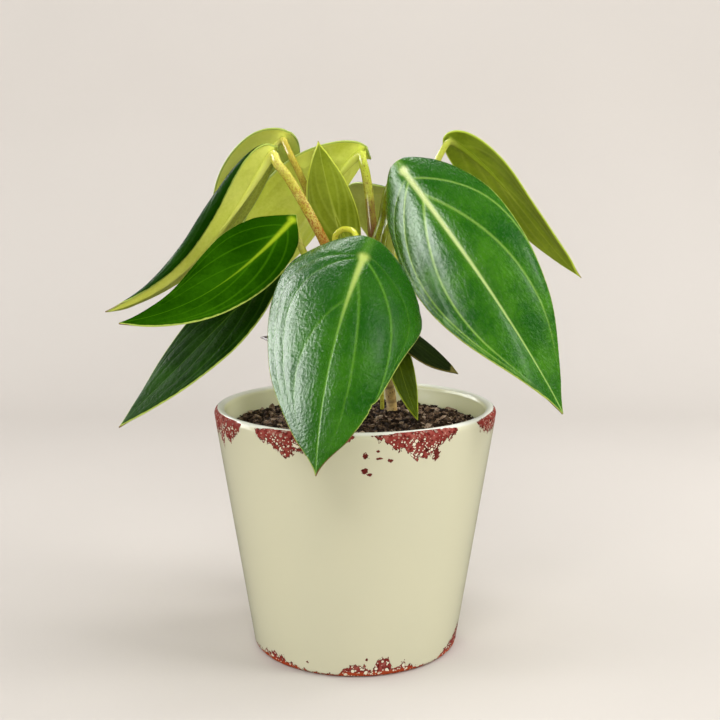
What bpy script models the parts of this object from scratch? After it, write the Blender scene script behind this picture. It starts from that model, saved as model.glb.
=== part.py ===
"""Potted peperomia: a glazed pot filled with soil, and one plant of thick, drooping, pointed leaves.

Metres, +Z up. The origin is the centre of the pot's flat base, +X is to the right and +Y to the back.
Angles are in degrees. A heading is counted counter-clockwise from +X, seen from above.
"""
import math

import bmesh
import bpy
import numpy as np
from mathutils import Quaternion, Vector, noise
from mathutils.bvhtree import BVHTree

# Pot
POT_HEIGHT = 0.1216
POT_RIM_RADIUS = 0.0700
POT_BASE_RADIUS = 0.0517
POT_WALL = 0.0058
POT_FLOOR = 0.0070
POT_FLOOR_ROUND = 0.0040
POT_FOOT_ROUND = 0.0028
POT_INNER_FLOOR_RADIUS = POT_BASE_RADIUS - POT_WALL + 0.0015
POT_STEPS = 72

# Soil
SOIL_EDGE_HEIGHT = 0.1108
SOIL_MOUND = 0.0022
SOIL_LUMP = 0.0011
SOIL_LUMP_SIZE = 0.009
SOIL_SMOOTH_EDGE = 0.003
SOIL_FOOT_INSET = 1.2 * POT_FLOOR_ROUND
SOIL_SHOULDER = POT_FLOOR + 1.5 * POT_FLOOR_ROUND
SOIL_RINGS = 9
SOIL_STEPS = 48

# Gap between pieces that touch, and between a stalk's end and its blade, found in short steps
GAP = 0.0003
END_GAP = 0.0005
END_STRETCH = 0.0001
END_STEPS = 70

# Blades: the stations of the first and last row, the part of a half circle that spaces the rows,
# and where the outer lip and the drawn-out point begin
BLADE_THICK = 0.0012
FIRST_ROW = 0.004
LAST_ROW = 0.994
ROW_SPACING = (0.10, 0.97)
LIP_START = 0.65
POINT_START = 0.62
TURN_STEPS = 16
# A half of a blade narrower than this bends less and less, down to its point
FLAT_BELOW = 0.005

# A stalk's straight start out of its stem, and the usual distance between a tube's points
KNEE = 0.0016
TUBE_STRETCH = 0.009

# Stems: how deep they stand in holes in the soil, the points they pass from where they leave it,
# and their radius at the soil and at the top. A hole's cutter rises clear of the soil.
STEM_SINK = 0.024
HOLE_GAP = 0.0005
HOLE_RISE = 0.012
MAIN_STEM = dict(
    route=[(0.0190, 0.0220, 0.1140), (0.0178, 0.0210, 0.1240), (0.0140, 0.0190, 0.1380),
           (0.0090, 0.0160, 0.1540), (0.0050, 0.0135, 0.1680), (0.0025, 0.0120, 0.1820)],
    radius=(0.0029, 0.0024))
SIDE_STEM = dict(
    route=[(0.0140, 0.0270, 0.1140), (0.0138, 0.0270, 0.1260), (0.0140, 0.0250, 0.1390),
           (0.0148, 0.0200, 0.1490), (0.0156, 0.0130, 0.1530)],
    radius=(0.0011, 0.0010))


def leaf(attach, length, width, heading, pitch, roll, **shape):
    """One leaf: where its stalk meets it, its size, and its run at the base, the middle and the tip."""
    settings = dict(attach=attach, length=length, width=width, heading=heading, pitch=pitch, roll=roll,
                    heel=0.006, fold=(5, 5, 5), curl=(-20, -20, -10), roundness=0.50, taper=0.92, drip=0.22,
                    cells=(16, 8))
    settings.update(shape)
    for side in ("left", "right"):
        settings.setdefault("fold_" + side, settings["fold"])
        settings.setdefault("curl_" + side, settings["curl"])
        settings.setdefault("share_" + side, (1.0, 1.0, 1.0))
        settings.setdefault("lip_" + side, (0, 0, 0))
    return settings


# fold: the angle at which a half rises from the midrib. curl: how much it turns down towards its edge.
# lip: a further turn in the outer third. share: the half's part of the width.
# heel: the length of blade behind the stalk.
LEAVES = {
    "front": leaf(
        (0.004, -0.055, 0.198), 0.105, 0.076, (-108, -114, -108), (-34, -59, -83), (-26, -18, -14),
        heel=0.014, fold=(-2, -4, 3), curl=(-61, -43, -10), share_left=(1.50, 0.88, 1.30),
        share_right=(1.00, 1.03, 0.97), roundness=0.42, taper=0.95, drip=0.28, cells=(18, 10)),
    "right": leaf(
        (0.023, -0.010, 0.236), 0.140, 0.062, (-51, -26, 0), (-41, -53, -63), (50, 52, 51),
        heel=0.007, fold_left=(-3, 7, 1), fold_right=(-10, -1, 30), curl_left=(-53, -26, -10),
        curl_right=(-57, -37, 3), share_left=(1.00, 1.05, 1.22), roundness=0.47, drip=0.28,
        cells=(20, 8)),
    "right_back": leaf(
        (0.048, 0.021, 0.252), 0.099, 0.031, (9, 4, 6), (-30, -50, -43), (-46, -42, -41),
        heel=0.004, fold_left=(10, 6, 18), fold_right=(10, -14, -5), curl_left=(-20, -12, 7),
        curl_right=(-19, -30, -7), roundness=0.53, taper=0.95),
    "left": leaf(
        (-0.030, -0.009, 0.213), 0.105, 0.044, (-117, -144, -178), (-28, -29, -6), (-36, -28, -19),
        heel=0.004, fold_left=(-1, 3, 6), fold_right=(-3, 5, 5), curl_left=(-46, -38, -9),
        curl_right=(-31, -35, -10), share_left=(0.70, 0.70, 1.10), share_right=(1.10, 1.20, 1.00),
        roundness=0.60),
    "left_low": leaf(
        (-0.037, 0.000, 0.190), 0.115, 0.035, (-125, -139, -156), (-28, -37, -43), (0, -13, -23),
        heel=0.007, fold=(4, 6, 4), curl=(-26, -17, -6), share_left=(0.20, 1.10, 1.20),
        share_right=(1.00, 1.12, 0.80)),
    "left_high": leaf(
        (-0.041, -0.003, 0.245), 0.117, 0.031, (155, 179, 198), (-55, -47, -12), (18, 36, 48),
        heel=0.004, fold_left=(36, 10, 5), fold_right=(38, 23, 34), curl_left=(-25, -10, -10),
        curl_right=(-4, 4, 16), lip_left=(-60, -170, -40), lip_right=(-30, -30, 0),
        share_left=(1.00, 1.40, 1.00), roundness=0.40, taper=0.88, cells=(16, 12)),
    "back_left": leaf(
        (-0.036, 0.014, 0.253), 0.096, 0.0445, (136, 118, 105), (-32, -52, -72), (23, 10, 3),
        heel=0.005, fold_left=(15, 2, 5), fold_right=(21, 4, 5), curl_left=(-26, -24, 0),
        curl_right=(-10, -14, 0), share_left=(1.00, 0.90, 1.00), share_right=(0.90, 1.00, 1.00),
        roundness=0.55),
    "back": leaf(
        (0.001, 0.021, 0.246), 0.102, 0.0595, (158, 151, 143), (-45, -48, -41), (28, 14, 9),
        heel=0.005, fold_left=(16, 26, 7), fold_right=(28, 19, 2), curl_left=(-27, -3, 1),
        curl_right=(4, -1, -2), share_right=(0.90, 1.00, 1.00), roundness=0.56, taper=0.78),
    "back_right": leaf(
        (0.020, 0.058, 0.226), 0.084, 0.050, (78, 76, 75), (-15, -49, -83), (6, 3, -1),
        fold_left=(16, 8, 6), fold_right=(14, 10, 5), curl=(-12, -10, 0),
        share_left=(1.10, 1.15, 1.00), share_right=(0.84, 0.84, 1.00), roundness=0.45),
    "inner": leaf(
        (-0.0015, 0.006, 0.1915), 0.062, 0.025, (-188, -187, -186), (67, 74, 82), (114, 110, 106),
        heel=0.0, fold_left=(19, 13, 12), fold_right=(12, 20, 8), curl=(3, 3, 0), roundness=0.60,
        drip=0.30, cells=(12, 6)),
    "low_right": leaf(
        (0.016, 0.002, 0.162), 0.047, 0.026, (22, 16, 10), (-36, -36, -37), (30, 33, 35),
        heel=0.004, fold_left=(2, 2, 0), fold_right=(4, 9, 3), curl=(-21, -20, -12), roundness=0.51,
        drip=0.24, cells=(12, 6)),
    "low_hang": leaf(
        (0.0185, 0.0044, 0.1532), 0.043, 0.016, (-50, -44, -39), (-69, -66, -63), (20, 24, 28),
        heel=0.004, fold_left=(20, 8, 21), fold_right=(20, 21, 22), curl=(0, -4, 0), cells=(10, 6)),
    "low_left": leaf(
        (-0.013, 0.023, 0.159), 0.051, 0.022, (133, 142, 150), (-22, -13, -4), (-32, -26, -20),
        heel=0.005, fold=(4, 3, 0), curl=(-20, -20, -4), cells=(10, 6)),
}

# Leaf stalks: the height and heading at which each leaves the main stem, then the points it passes,
# up to the one before its leaf, and its radius at the stem and at the leaf.
STALKS = {
    "front": dict(height=0.1710, heading=-118, radius=(0.0022, 0.0017), route=[
        (-0.0020, -0.0010, 0.1840), (-0.0080, -0.0085, 0.1965), (-0.0095, -0.0130, 0.2046),
        (-0.0061, -0.0195, 0.2086), (-0.0013, -0.0275, 0.2085), (0.0008, -0.0330, 0.2055),
        (0.0016, -0.0385, 0.2003), (0.0022, -0.0445, 0.1959), (0.0026, -0.0493, 0.1935)]),
    "right": dict(height=0.1680, heading=-25, radius=(0.0022, 0.0017), route=[
        (0.0094, 0.0098, 0.1880), (0.0098, 0.0100, 0.2009), (0.0132, 0.0090, 0.2127),
        (0.0142, 0.0080, 0.2196), (0.0156, 0.0060, 0.2260), (0.0182, 0.0040, 0.2308),
        (0.0222, -0.0026, 0.2326)]),
    "right_back": dict(height=0.1620, heading=15, radius=(0.0022, 0.0016), route=[
        (0.0170, 0.0150, 0.1860), (0.0248, 0.0150, 0.2071), (0.0348, 0.0160, 0.2293),
        (0.0430, 0.0170, 0.2455)]),
    "left": dict(height=0.1620, heading=-140, radius=(0.0021, 0.0016), route=[
        (-0.0080, 0.0060, 0.1700), (-0.0170, 0.0045, 0.1820), (-0.0256, 0.0020, 0.1974),
        (-0.0274, -0.0010, 0.2029), (-0.0287, -0.0030, 0.2073)]),
    "left_low": dict(height=0.1530, heading=-165, radius=(0.0021, 0.0016), route=[
        (-0.0080, 0.0120, 0.1600), (-0.0200, 0.0090, 0.1700), (-0.0310, 0.0045, 0.1815)]),
    "left_high": dict(height=0.1760, heading=190, radius=(0.0024, 0.0020), route=[
        (-0.0050, 0.0078, 0.1810), (-0.0088, 0.0040, 0.1880), (-0.0167, 0.0010, 0.2052),
        (-0.0234, -0.0005, 0.2178), (-0.0299, -0.0030, 0.2293), (-0.0336, -0.0050, 0.2350),
        (-0.0372, -0.0070, 0.2397)]),
    "back_left": dict(height=0.1680, heading=125, radius=(0.0022, 0.0016), route=[
        (-0.0060, 0.0185, 0.1860), (-0.0120, 0.0190, 0.1960), (-0.0178, 0.0190, 0.2059),
        (-0.0208, 0.0185, 0.2159), (-0.0232, 0.0175, 0.2234), (-0.0254, 0.0140, 0.2298),
        (-0.0281, 0.0090, 0.2366), (-0.0308, 0.0055, 0.2423), (-0.0339, 0.0090, 0.2487)]),
    "back": dict(height=0.1790, heading=50, radius=(0.0023, 0.0018), route=[
        (0.0096, 0.0156, 0.1930), (0.0089, 0.0150, 0.2046), (0.0079, 0.0160, 0.2145),
        (0.0069, 0.0170, 0.2244), (0.0054, 0.0170, 0.2343), (0.0039, 0.0170, 0.2402)]),
    "back_right": dict(height=0.1560, heading=75, radius=(0.0021, 0.0015), route=[
        (0.0110, 0.0210, 0.1750), (0.0147, 0.0280, 0.2010), (0.0169, 0.0380, 0.2103),
        (0.0190, 0.0480, 0.2180)]),
    "low_right": dict(height=0.1490, heading=-75, radius=(0.0013, 0.0010), route=[
        (0.0123, 0.0110, 0.1505), (0.0120, 0.0070, 0.1535), (0.0118, 0.0042, 0.1568)]),
    "low_left": dict(height=0.1400, heading=160, radius=(0.0012, 0.0010), route=[
        (0.0040, 0.0220, 0.1440), (-0.0060, 0.0225, 0.1490), (-0.0110, 0.0228, 0.1540)]),
}
# The youngest leaf's stalk stands on the end of the main stem.
TOP_STALK = dict(radius=(0.0016, 0.0011), route=[(0.0008, 0.0094, 0.1868)])

COLOURS = {
    "glaze": ((0.62, 0.61, 0.42), 0.25),
    "soil": ((0.035, 0.022, 0.014), 0.95),
    "bark": ((0.36, 0.25, 0.10), 0.60),
    "stalk": ((0.50, 0.45, 0.08), 0.40),
    "blade": ((0.03, 0.16, 0.02), 0.30),
    "young_blade": ((0.30, 0.38, 0.05), 0.40),
}


def remove_everything():
    for obj in list(bpy.data.objects):
        bpy.data.objects.remove(obj, do_unlink=True)


def new_collection(name):
    collection = bpy.data.collections.new(name)
    bpy.context.scene.collection.children.link(collection)
    return collection


def new_material(name, colour, roughness):
    material = bpy.data.materials.new(name)
    material.use_nodes = True
    shader = material.node_tree.nodes["Principled BSDF"]
    shader.inputs["Base Color"].default_value = (*colour, 1.0)
    shader.inputs["Roughness"].default_value = roughness
    shader.inputs["Metallic"].default_value = 0.0
    return material


def add_object(name, data, material, collection):
    obj = bpy.data.objects.new(name, data)
    data.materials.clear()
    data.materials.append(material)
    collection.objects.link(obj)
    return obj


def evaluated_mesh(obj):
    """The object's mesh with its modifiers, or its tube, made real."""
    graph = bpy.context.evaluated_depsgraph_get()
    return bpy.data.meshes.new_from_object(obj.evaluated_get(graph))


def profile_mesh(name, points):
    """A chain of edges in the XZ plane, to be turned round Z."""
    mesh = bpy.data.meshes.new(name)
    mesh.from_pydata([(radius, 0.0, height) for radius, height in points],
                     [(i, i + 1) for i in range(len(points) - 1)], [])
    return mesh


def arc(centre, radius, start, end, count):
    """Points on an arc in the profile's plane, angles in degrees from the +radius direction."""
    angles = [math.radians(start + (end - start) * i / count) for i in range(count + 1)]
    return [(centre[0] + radius * math.cos(a), centre[1] + radius * math.sin(a)) for a in angles]


def turn(obj, steps):
    screw = obj.modifiers.new("turn", "SCREW")
    screw.steps = steps
    screw.render_steps = steps
    screw.use_merge_vertices = True
    screw.merge_threshold = 0.00001


def inner_radius(height):
    """Radius of the pot's inside at a height, between its rounded floor and its rounded lip."""
    low = POT_FLOOR + POT_FLOOR_ROUND
    high = POT_HEIGHT - POT_WALL / 2
    share = (height - low) / (high - low)
    return POT_INNER_FLOOR_RADIUS + share * (POT_RIM_RADIUS - POT_WALL - POT_INNER_FLOOR_RADIUS)


def make_pot(material, collection):
    lip = POT_WALL / 2
    curve = POT_FLOOR_ROUND
    foot = POT_FOOT_ROUND
    points = [(0.0, POT_FLOOR)]
    points += arc((POT_INNER_FLOOR_RADIUS - curve, POT_FLOOR + curve), curve, -90, 0, 3)
    points += arc((POT_RIM_RADIUS - lip, POT_HEIGHT - lip), lip, 180, 0, 8)
    points += arc((POT_BASE_RADIUS - foot, foot), foot, 0, -90, 4)
    points.append((0.0, 0.0))
    pot = add_object("pot", profile_mesh("pot", points), material, collection)
    turn(pot, POT_STEPS)
    return pot


def soil_height(radius):
    """The soil is a low mound that falls to its edge at the pot's wall."""
    reach = min(radius / inner_radius(SOIL_EDGE_HEIGHT), 1.0)
    return SOIL_EDGE_HEIGHT + SOIL_MOUND * (1 - reach ** 2)


def make_soil(material, collection, cutters):
    edge = inner_radius(SOIL_EDGE_HEIGHT) - GAP
    bottom = POT_FLOOR + GAP
    points = []
    for i in range(SOIL_RINGS + 1):
        radius = edge * i / SOIL_RINGS
        points.append((radius, soil_height(radius)))
    points.append((inner_radius(SOIL_SHOULDER) - GAP, SOIL_SHOULDER))
    points += [(POT_INNER_FLOOR_RADIUS - SOIL_FOOT_INSET, bottom), (0.0, bottom)]
    profile = add_object("soil_profile", profile_mesh("soil_profile", points), material, collection)
    turn(profile, SOIL_STEPS)
    mesh = evaluated_mesh(profile)
    bpy.data.objects.remove(profile, do_unlink=True)

    body = bmesh.new()
    body.from_mesh(mesh)
    for vert in body.verts:
        radius = math.hypot(vert.co.x, vert.co.y)
        if vert.co.z > SOIL_EDGE_HEIGHT - GAP and radius < edge - SOIL_SMOOTH_EDGE:
            vert.co.z += SOIL_LUMP * noise.noise(Vector(vert.co) / SOIL_LUMP_SIZE)
    body.to_mesh(mesh)
    body.free()
    mesh.name = "soil"
    soil = add_object("soil", mesh, material, collection)
    for stem in (MAIN_STEM, SIDE_STEM):
        x, y, z = stem["route"][0]
        depth = STEM_SINK + HOLE_RISE
        bpy.ops.mesh.primitive_cylinder_add(
            vertices=16, radius=stem["radius"][0] + HOLE_GAP, depth=depth,
            location=(x, y, z - STEM_SINK - GAP + depth / 2))
        cutter = bpy.context.object
        cutter.name = "hole"
        cutter.hide_render = True
        cutter.display_type = "WIRE"
        for owner in list(cutter.users_collection):
            owner.objects.unlink(cutter)
        cutters.objects.link(cutter)
        cut = soil.modifiers.new("stem hole", "BOOLEAN")
        cut.operation = "DIFFERENCE"
        cut.object = cutter
    return soil


def smooth_route(points, count):
    """Evenly spaced points on a Catmull-Rom curve through the given ones."""
    chain = np.array(points, dtype=float)
    chain = np.vstack([2 * chain[0] - chain[1], chain, 2 * chain[-1] - chain[-2]])
    dense = []
    for i in range(1, len(chain) - 2):
        a, b, c, d = chain[i - 1:i + 3]
        for t in np.linspace(0.0, 1.0, 24, endpoint=False):
            dense.append(0.5 * (2 * b + (c - a) * t + (2 * a - 5 * b + 4 * c - d) * t * t
                                + (3 * b - a - 3 * c + d) * t ** 3))
    dense.append(chain[-2])
    dense = np.array(dense)
    steps = np.linalg.norm(np.diff(dense, axis=0), axis=1)
    run = np.concatenate([[0.0], np.cumsum(steps)])
    wanted = np.linspace(0.0, run[-1], count)
    return np.stack([np.interp(wanted, run, dense[:, k]) for k in range(3)], axis=1)


def make_tube(name, points, radii, material, collection):
    """A round stalk or stem: a curve whose radius runs from one end's value to the other's."""
    curve = bpy.data.curves.new(name, "CURVE")
    curve.dimensions = "3D"
    curve.bevel_depth = 1.0
    curve.bevel_resolution = 2
    curve.use_fill_caps = True
    spline = curve.splines.new("POLY")
    spline.points.add(len(points) - 1)
    for i, point in enumerate(points):
        t = i / (len(points) - 1)
        radius = radii[0] + (radii[1] - radii[0]) * t
        spline.points[i].co = (*point, 1.0)
        spline.points[i].radius = radius
    return add_object(name, curve, material, collection)


def stem_points(stem):
    """A stem's route, with a straight foot sunk in the soil."""
    x, y, z = stem["route"][0]
    foot = [(x, y, z - STEM_SINK), (x, y, z - STEM_SINK / 2)]
    return foot + stem["route"]


def at_base_mid_tip(values, s):
    """A value that runs smoothly through three given ones, at 0, 1/2 and 1."""
    base, mid, tip = values
    return base * (1 - s) * (1 - 2 * s) + 4 * mid * s * (1 - s) + tip * s * (2 * s - 1)


def midrib(settings, samples=160):
    """Points along the midrib with its direction, the upper side's direction and the right-hand one."""
    heel = settings["heel"]
    whole = settings["length"] + heel
    start = heel / whole
    s = np.linspace(0.0, 1.0, samples + 1)
    u = np.clip((s - start) / (1 - start), 0.0, 1.0)
    heading = np.radians(at_base_mid_tip(settings["heading"], u))
    pitch = np.radians(at_base_mid_tip(settings["pitch"], u))
    roll = np.radians(at_base_mid_tip(settings["roll"], u))[:, None]
    ahead, aside = np.cos(heading), np.sin(heading)
    along = np.stack([np.cos(pitch) * ahead, np.cos(pitch) * aside, np.sin(pitch)], axis=1)
    level = np.stack([-np.sin(pitch) * ahead, -np.sin(pitch) * aside, np.cos(pitch)], axis=1)
    upper = np.cos(roll) * level + np.sin(roll) * np.cross(along, level)
    steps = 0.5 * (along[1:] + along[:-1]) * whole / samples
    points = np.vstack([np.zeros(3), np.cumsum(steps, axis=0)])
    attach = np.array([np.interp(start, s, points[:, k]) for k in range(3)])
    points += np.array(settings["attach"]) - attach
    return s, points, along, upper, np.cross(along, upper)


def half_width(settings, s):
    """Half of the blade's width at a place along it: round at the heel, drawn out to a point."""
    a, b = settings["roundness"], settings["taper"]
    peak = a / (a + b)
    outline = s ** a * (1 - s) ** b / (peak ** a * (1 - peak) ** b)
    narrowing = 1 - settings["drip"] * np.clip((s - POINT_START) / (1 - POINT_START), 0.0, 1.0) ** 2
    return 0.5 * settings["width"] * outline * narrowing


def blade_points(settings):
    """The middle surface of a blade, as rows from heel to tip and columns from left to right edge."""
    rows, columns = settings["cells"]
    spread = np.cos(np.linspace(*ROW_SPACING, rows + 1) * math.pi)
    s = FIRST_ROW + (LAST_ROW - FIRST_ROW) * (spread - spread[0]) / (spread[-1] - spread[0])
    stations, points, _, upper, right = midrib(settings)
    centre = np.stack([np.interp(s, stations, points[:, k]) for k in range(3)], axis=1)
    up = np.stack([np.interp(s, stations, upper[:, k]) for k in range(3)], axis=1)
    out = np.stack([np.interp(s, stations, right[:, k]) for k in range(3)], axis=1)
    up /= np.linalg.norm(up, axis=1)[:, None]
    out /= np.linalg.norm(out, axis=1)[:, None]
    width = half_width(settings, s)
    grid = np.zeros((rows + 1, columns + 1, 3))
    for column in range(columns + 1):
        t = 2 * column / columns - 1
        side, name = (-1, "left") if t < 0 else (1, "right")
        fold = np.radians(at_base_mid_tip(settings["fold_" + name], s))[:, None]
        curl = np.radians(at_base_mid_tip(settings["curl_" + name], s))[:, None]
        lip = np.radians(at_base_mid_tip(settings["lip_" + name], s))[:, None]
        reach = width * at_base_mid_tip(settings["share_" + name], s)
        q = np.linspace(0.0, abs(t), TURN_STEPS + 1)[None, :]
        slope = fold + curl * q + lip * np.clip((q - LIP_START) / (1 - LIP_START), 0.0, 1.0)
        slope = slope * np.clip(reach / FLAT_BELOW, 0.0, 1.0)[:, None]
        level = np.mean((np.cos(slope[:, 1:]) + np.cos(slope[:, :-1])) / 2, axis=1) * abs(t)
        rise = np.mean((np.sin(slope[:, 1:]) + np.sin(slope[:, :-1])) / 2, axis=1) * abs(t)
        grid[:, column] = centre + side * out * (reach * level)[:, None] + up * (reach * rise)[:, None]
    return grid


def make_blade(name, settings, material, collection):
    """A grid bent to the blade's middle surface, split into triangles and thickened to both sides."""
    rows, columns = settings["cells"]
    places = blade_points(settings)
    body = bmesh.new()
    bmesh.ops.create_grid(body, x_segments=rows, y_segments=columns, size=1.0)
    for vert in body.verts:
        row = round((vert.co.x + 1) / 2 * rows)
        column = round((1 - vert.co.y) / 2 * columns)
        vert.co = Vector(places[row, column])
    bmesh.ops.triangulate(body, faces=body.faces[:], quad_method="FIXED")
    mesh = bpy.data.meshes.new(name)
    body.to_mesh(mesh)
    body.free()
    mesh.shade_smooth()
    blade = add_object(name, mesh, material, collection)
    solid = blade.modifiers.new("thickness", "SOLIDIFY")
    solid.thickness = BLADE_THICK
    solid.offset = 0.0
    return blade


def main_stem_at(points, height):
    """Centre of the main stem at a height."""
    return np.array([np.interp(height, points[:, 2], points[:, 0]),
                     np.interp(height, points[:, 2], points[:, 1]), height])


def stalk_end(settings, last, radius):
    """On the way from a stalk's last point to its blade, the place where its rim comes near the blade."""
    places = blade_points(settings)
    rows, columns = settings["cells"]
    corners = [Vector(place) for place in places.reshape(-1, 3)]
    faces = []
    for row in range(rows):
        for column in range(columns):
            first = row * (columns + 1) + column
            faces.append((first, first + 1, first + columns + 2, first + columns + 1))
    tree = BVHTree.FromPolygons(corners, faces)
    attach = Vector(settings["attach"])
    way = (attach - Vector(last)).normalized()
    side = way.orthogonal().normalized() * radius
    rim = [Quaternion(way, math.radians(angle)) @ side for angle in range(0, 360, 30)]
    for step in range(END_STEPS, 0, -1):
        end = attach - way * step * END_STRETCH
        if min(tree.find_nearest(end + spoke)[3] for spoke in rim) < BLADE_THICK / 2 + END_GAP:
            break
    return np.array(end)


def make_stalk(name, stalk, settings, stem, material, collection):
    """A stalk leaves its stem squarely, follows its route and stops under its leaf."""
    heading = math.radians(stalk["heading"])
    centre = main_stem_at(stem, stalk["height"])
    lean = main_stem_at(stem, stalk["height"] + 0.002) - centre
    lean /= np.linalg.norm(lean)
    outward = np.array([math.cos(heading), math.sin(heading), 0.0])
    outward -= lean * (outward @ lean)
    outward /= np.linalg.norm(outward)
    radius = np.interp(stalk["height"], [stem[0, 2], stem[-1, 2]], MAIN_STEM["radius"])
    start = centre + outward * (radius + 1.5 * GAP)
    knee = start + outward * KNEE
    route = [knee] + stalk["route"]
    route.append(stalk_end(settings, route[-1], stalk["radius"][1]))
    points = np.vstack([start, smooth_route(route, tube_count(route))])
    return make_tube(name, points, stalk["radius"], material, collection)


def make_top_stalk(name, stalk, settings, stem, material, collection):
    """The youngest stalk grows on from the stem's end."""
    way = stem[-1] - stem[-2]
    way /= np.linalg.norm(way)
    start = stem[-1] + way * GAP
    route = [start + way * KNEE] + stalk["route"]
    route.append(stalk_end(settings, route[-1], stalk["radius"][1]))
    points = np.vstack([start, smooth_route(route, tube_count(route))])
    return make_tube(name, points, stalk["radius"], material, collection)


def tube_count(route):
    """How many points a tube gets: one for each stretch of its route, and a few for its bends."""
    length = sum(float(np.linalg.norm(np.array(b) - np.array(a))) for a, b in zip(route, route[1:]))
    return 4 + int(round(length / TUBE_STRETCH))


def main():
    remove_everything()
    collection = new_collection("potted_peperomia")
    cutters = new_collection("cutters")
    materials = {name: new_material(name, colour, rough) for name, (colour, rough) in COLOURS.items()}

    make_pot(materials["glaze"], collection)
    make_soil(materials["soil"], collection, cutters)

    stem = smooth_route(stem_points(MAIN_STEM), 26)
    make_tube("stem_main", stem, MAIN_STEM["radius"], materials["bark"], collection)

    side = stem_points(SIDE_STEM)
    side.append(stalk_end(LEAVES["low_hang"], side[-1], SIDE_STEM["radius"][1]))
    make_tube("stem_side", smooth_route(side, 18), SIDE_STEM["radius"], materials["stalk"], collection)

    for name, stalk in STALKS.items():
        make_stalk("petiole_" + name, stalk, LEAVES[name], stem, materials["stalk"], collection)
    make_top_stalk("petiole_inner", TOP_STALK, LEAVES["inner"], stem, materials["stalk"], collection)
    for name, settings in LEAVES.items():
        young = name in ("inner", "low_hang")
        make_blade("leaf_" + name, settings, materials["young_blade" if young else "blade"], collection)
    for obj in collection.objects:
        if obj.type == "MESH" and not obj.name.startswith("leaf"):
            obj.data.shade_smooth()
            obj.data.set_sharp_from_angle(angle=math.radians(40))


main()
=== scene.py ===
import math

import bpy
import numpy as np
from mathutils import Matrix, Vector, noise
from mathutils.bvhtree import BVHTree


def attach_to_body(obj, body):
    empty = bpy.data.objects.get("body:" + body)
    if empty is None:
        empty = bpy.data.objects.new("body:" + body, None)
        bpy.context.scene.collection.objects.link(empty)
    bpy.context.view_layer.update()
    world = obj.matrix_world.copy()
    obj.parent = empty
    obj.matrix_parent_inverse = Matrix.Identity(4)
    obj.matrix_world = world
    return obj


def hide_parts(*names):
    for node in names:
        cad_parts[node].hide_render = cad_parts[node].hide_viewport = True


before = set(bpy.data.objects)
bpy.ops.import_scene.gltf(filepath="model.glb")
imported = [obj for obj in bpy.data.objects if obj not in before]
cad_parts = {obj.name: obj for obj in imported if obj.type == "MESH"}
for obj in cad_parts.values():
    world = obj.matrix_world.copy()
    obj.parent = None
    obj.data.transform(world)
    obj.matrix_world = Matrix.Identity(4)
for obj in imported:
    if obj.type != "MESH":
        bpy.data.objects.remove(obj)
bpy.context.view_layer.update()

# Metres, +Z up, the pot's base centred on the origin. Angles in degrees. mm turns millimetres into metres.
mm = 0.001


def treeOf(*values):
    # a socket knows the node tree that it stands in
    return next(value.id_data for value in values if isinstance(value, bpy.types.NodeSocket))


def plug(socket, value):
    if isinstance(value, bpy.types.NodeSocket):
        socket.id_data.links.new(value, socket)
    elif isinstance(value, tuple) and len(value) == 3 and socket.type == "RGBA":
        socket.default_value = (*value, 1.0)
    else:
        socket.default_value = value


def addNode(tree, kind, inputs, **settings):
    made = tree.nodes.new(kind)
    for name, value in settings.items():
        setattr(made, name, value)
    for name, value in inputs.items():
        plug(made.inputs[name], value)
    return made


# Sums on sockets. Each call adds a Math node.
def calc(operation, *values):
    return addNode(treeOf(*values), "ShaderNodeMath", dict(enumerate(values)), operation=operation).outputs[0]


def plus(first, second):
    return calc("ADD", first, second)


def minus(first, second):
    return calc("SUBTRACT", first, second)


def times(product, *factors):
    for factor in factors:
        product = calc("MULTIPLY", product, factor)
    return product


def timesPlus(value, factor, added):
    return calc("MULTIPLY_ADD", value, factor, added)


def divided(value, by):
    return calc("DIVIDE", value, by)


def most(first, second):
    return calc("MAXIMUM", first, second)


def lengthOf(first, second):
    return calc("SQRT", plus(times(first, first), times(second, second)))


def ramp(value, low, high, toLow=0.0, toHigh=1.0, kind="SMOOTHSTEP"):
    return addNode(treeOf(value), "ShaderNodeMapRange", {0: value, 1: low, 2: high, 3: toLow, 4: toHigh},
                   interpolation_type=kind).outputs[0]


def mixColour(factor, first, second):
    tree = treeOf(factor, first, second)
    return addNode(tree, "ShaderNodeMix", {0: factor, 6: first, 7: second}, data_type="RGBA").outputs[2]


def layered(colour, *coats):
    # each coat is a mask and a colour, laid over the ones before it
    for mask, coat in coats:
        colour = mixColour(mask, colour, coat)
    return colour


def mixValue(factor, first, second):
    return addNode(treeOf(factor), "ShaderNodeMix", {0: factor, 2: first, 3: second}, data_type="FLOAT").outputs[0]


def noiseAt(vector, scale, detail=2.0, roughness=0.5, distortion=0.0):
    return addNode(treeOf(vector), "ShaderNodeTexNoise", {
        "Vector": vector, "Scale": scale, "Detail": detail, "Roughness": roughness,
        "Distortion": distortion}).outputs[0]


def cellsAt(vector, scale, **settings):
    return addNode(treeOf(vector), "ShaderNodeTexVoronoi", {"Vector": vector, "Scale": scale}, **settings).outputs


def stretched(vector, factors):
    return addNode(treeOf(vector), "ShaderNodeVectorMath", {0: vector, 1: factors}, operation="MULTIPLY").outputs[0]


def vectorOf(x, y, z=0.0):
    return addNode(treeOf(x, y, z), "ShaderNodeCombineXYZ", {0: x, 1: y, 2: z}).outputs[0]


def attributesOf(tree, *names):
    return [addNode(tree, "ShaderNodeAttribute", {}, attribute_name=name).outputs["Fac"] for name in names]


def places(tree):
    return addNode(tree, "ShaderNodeTexCoord", {}).outputs["Object"]


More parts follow.
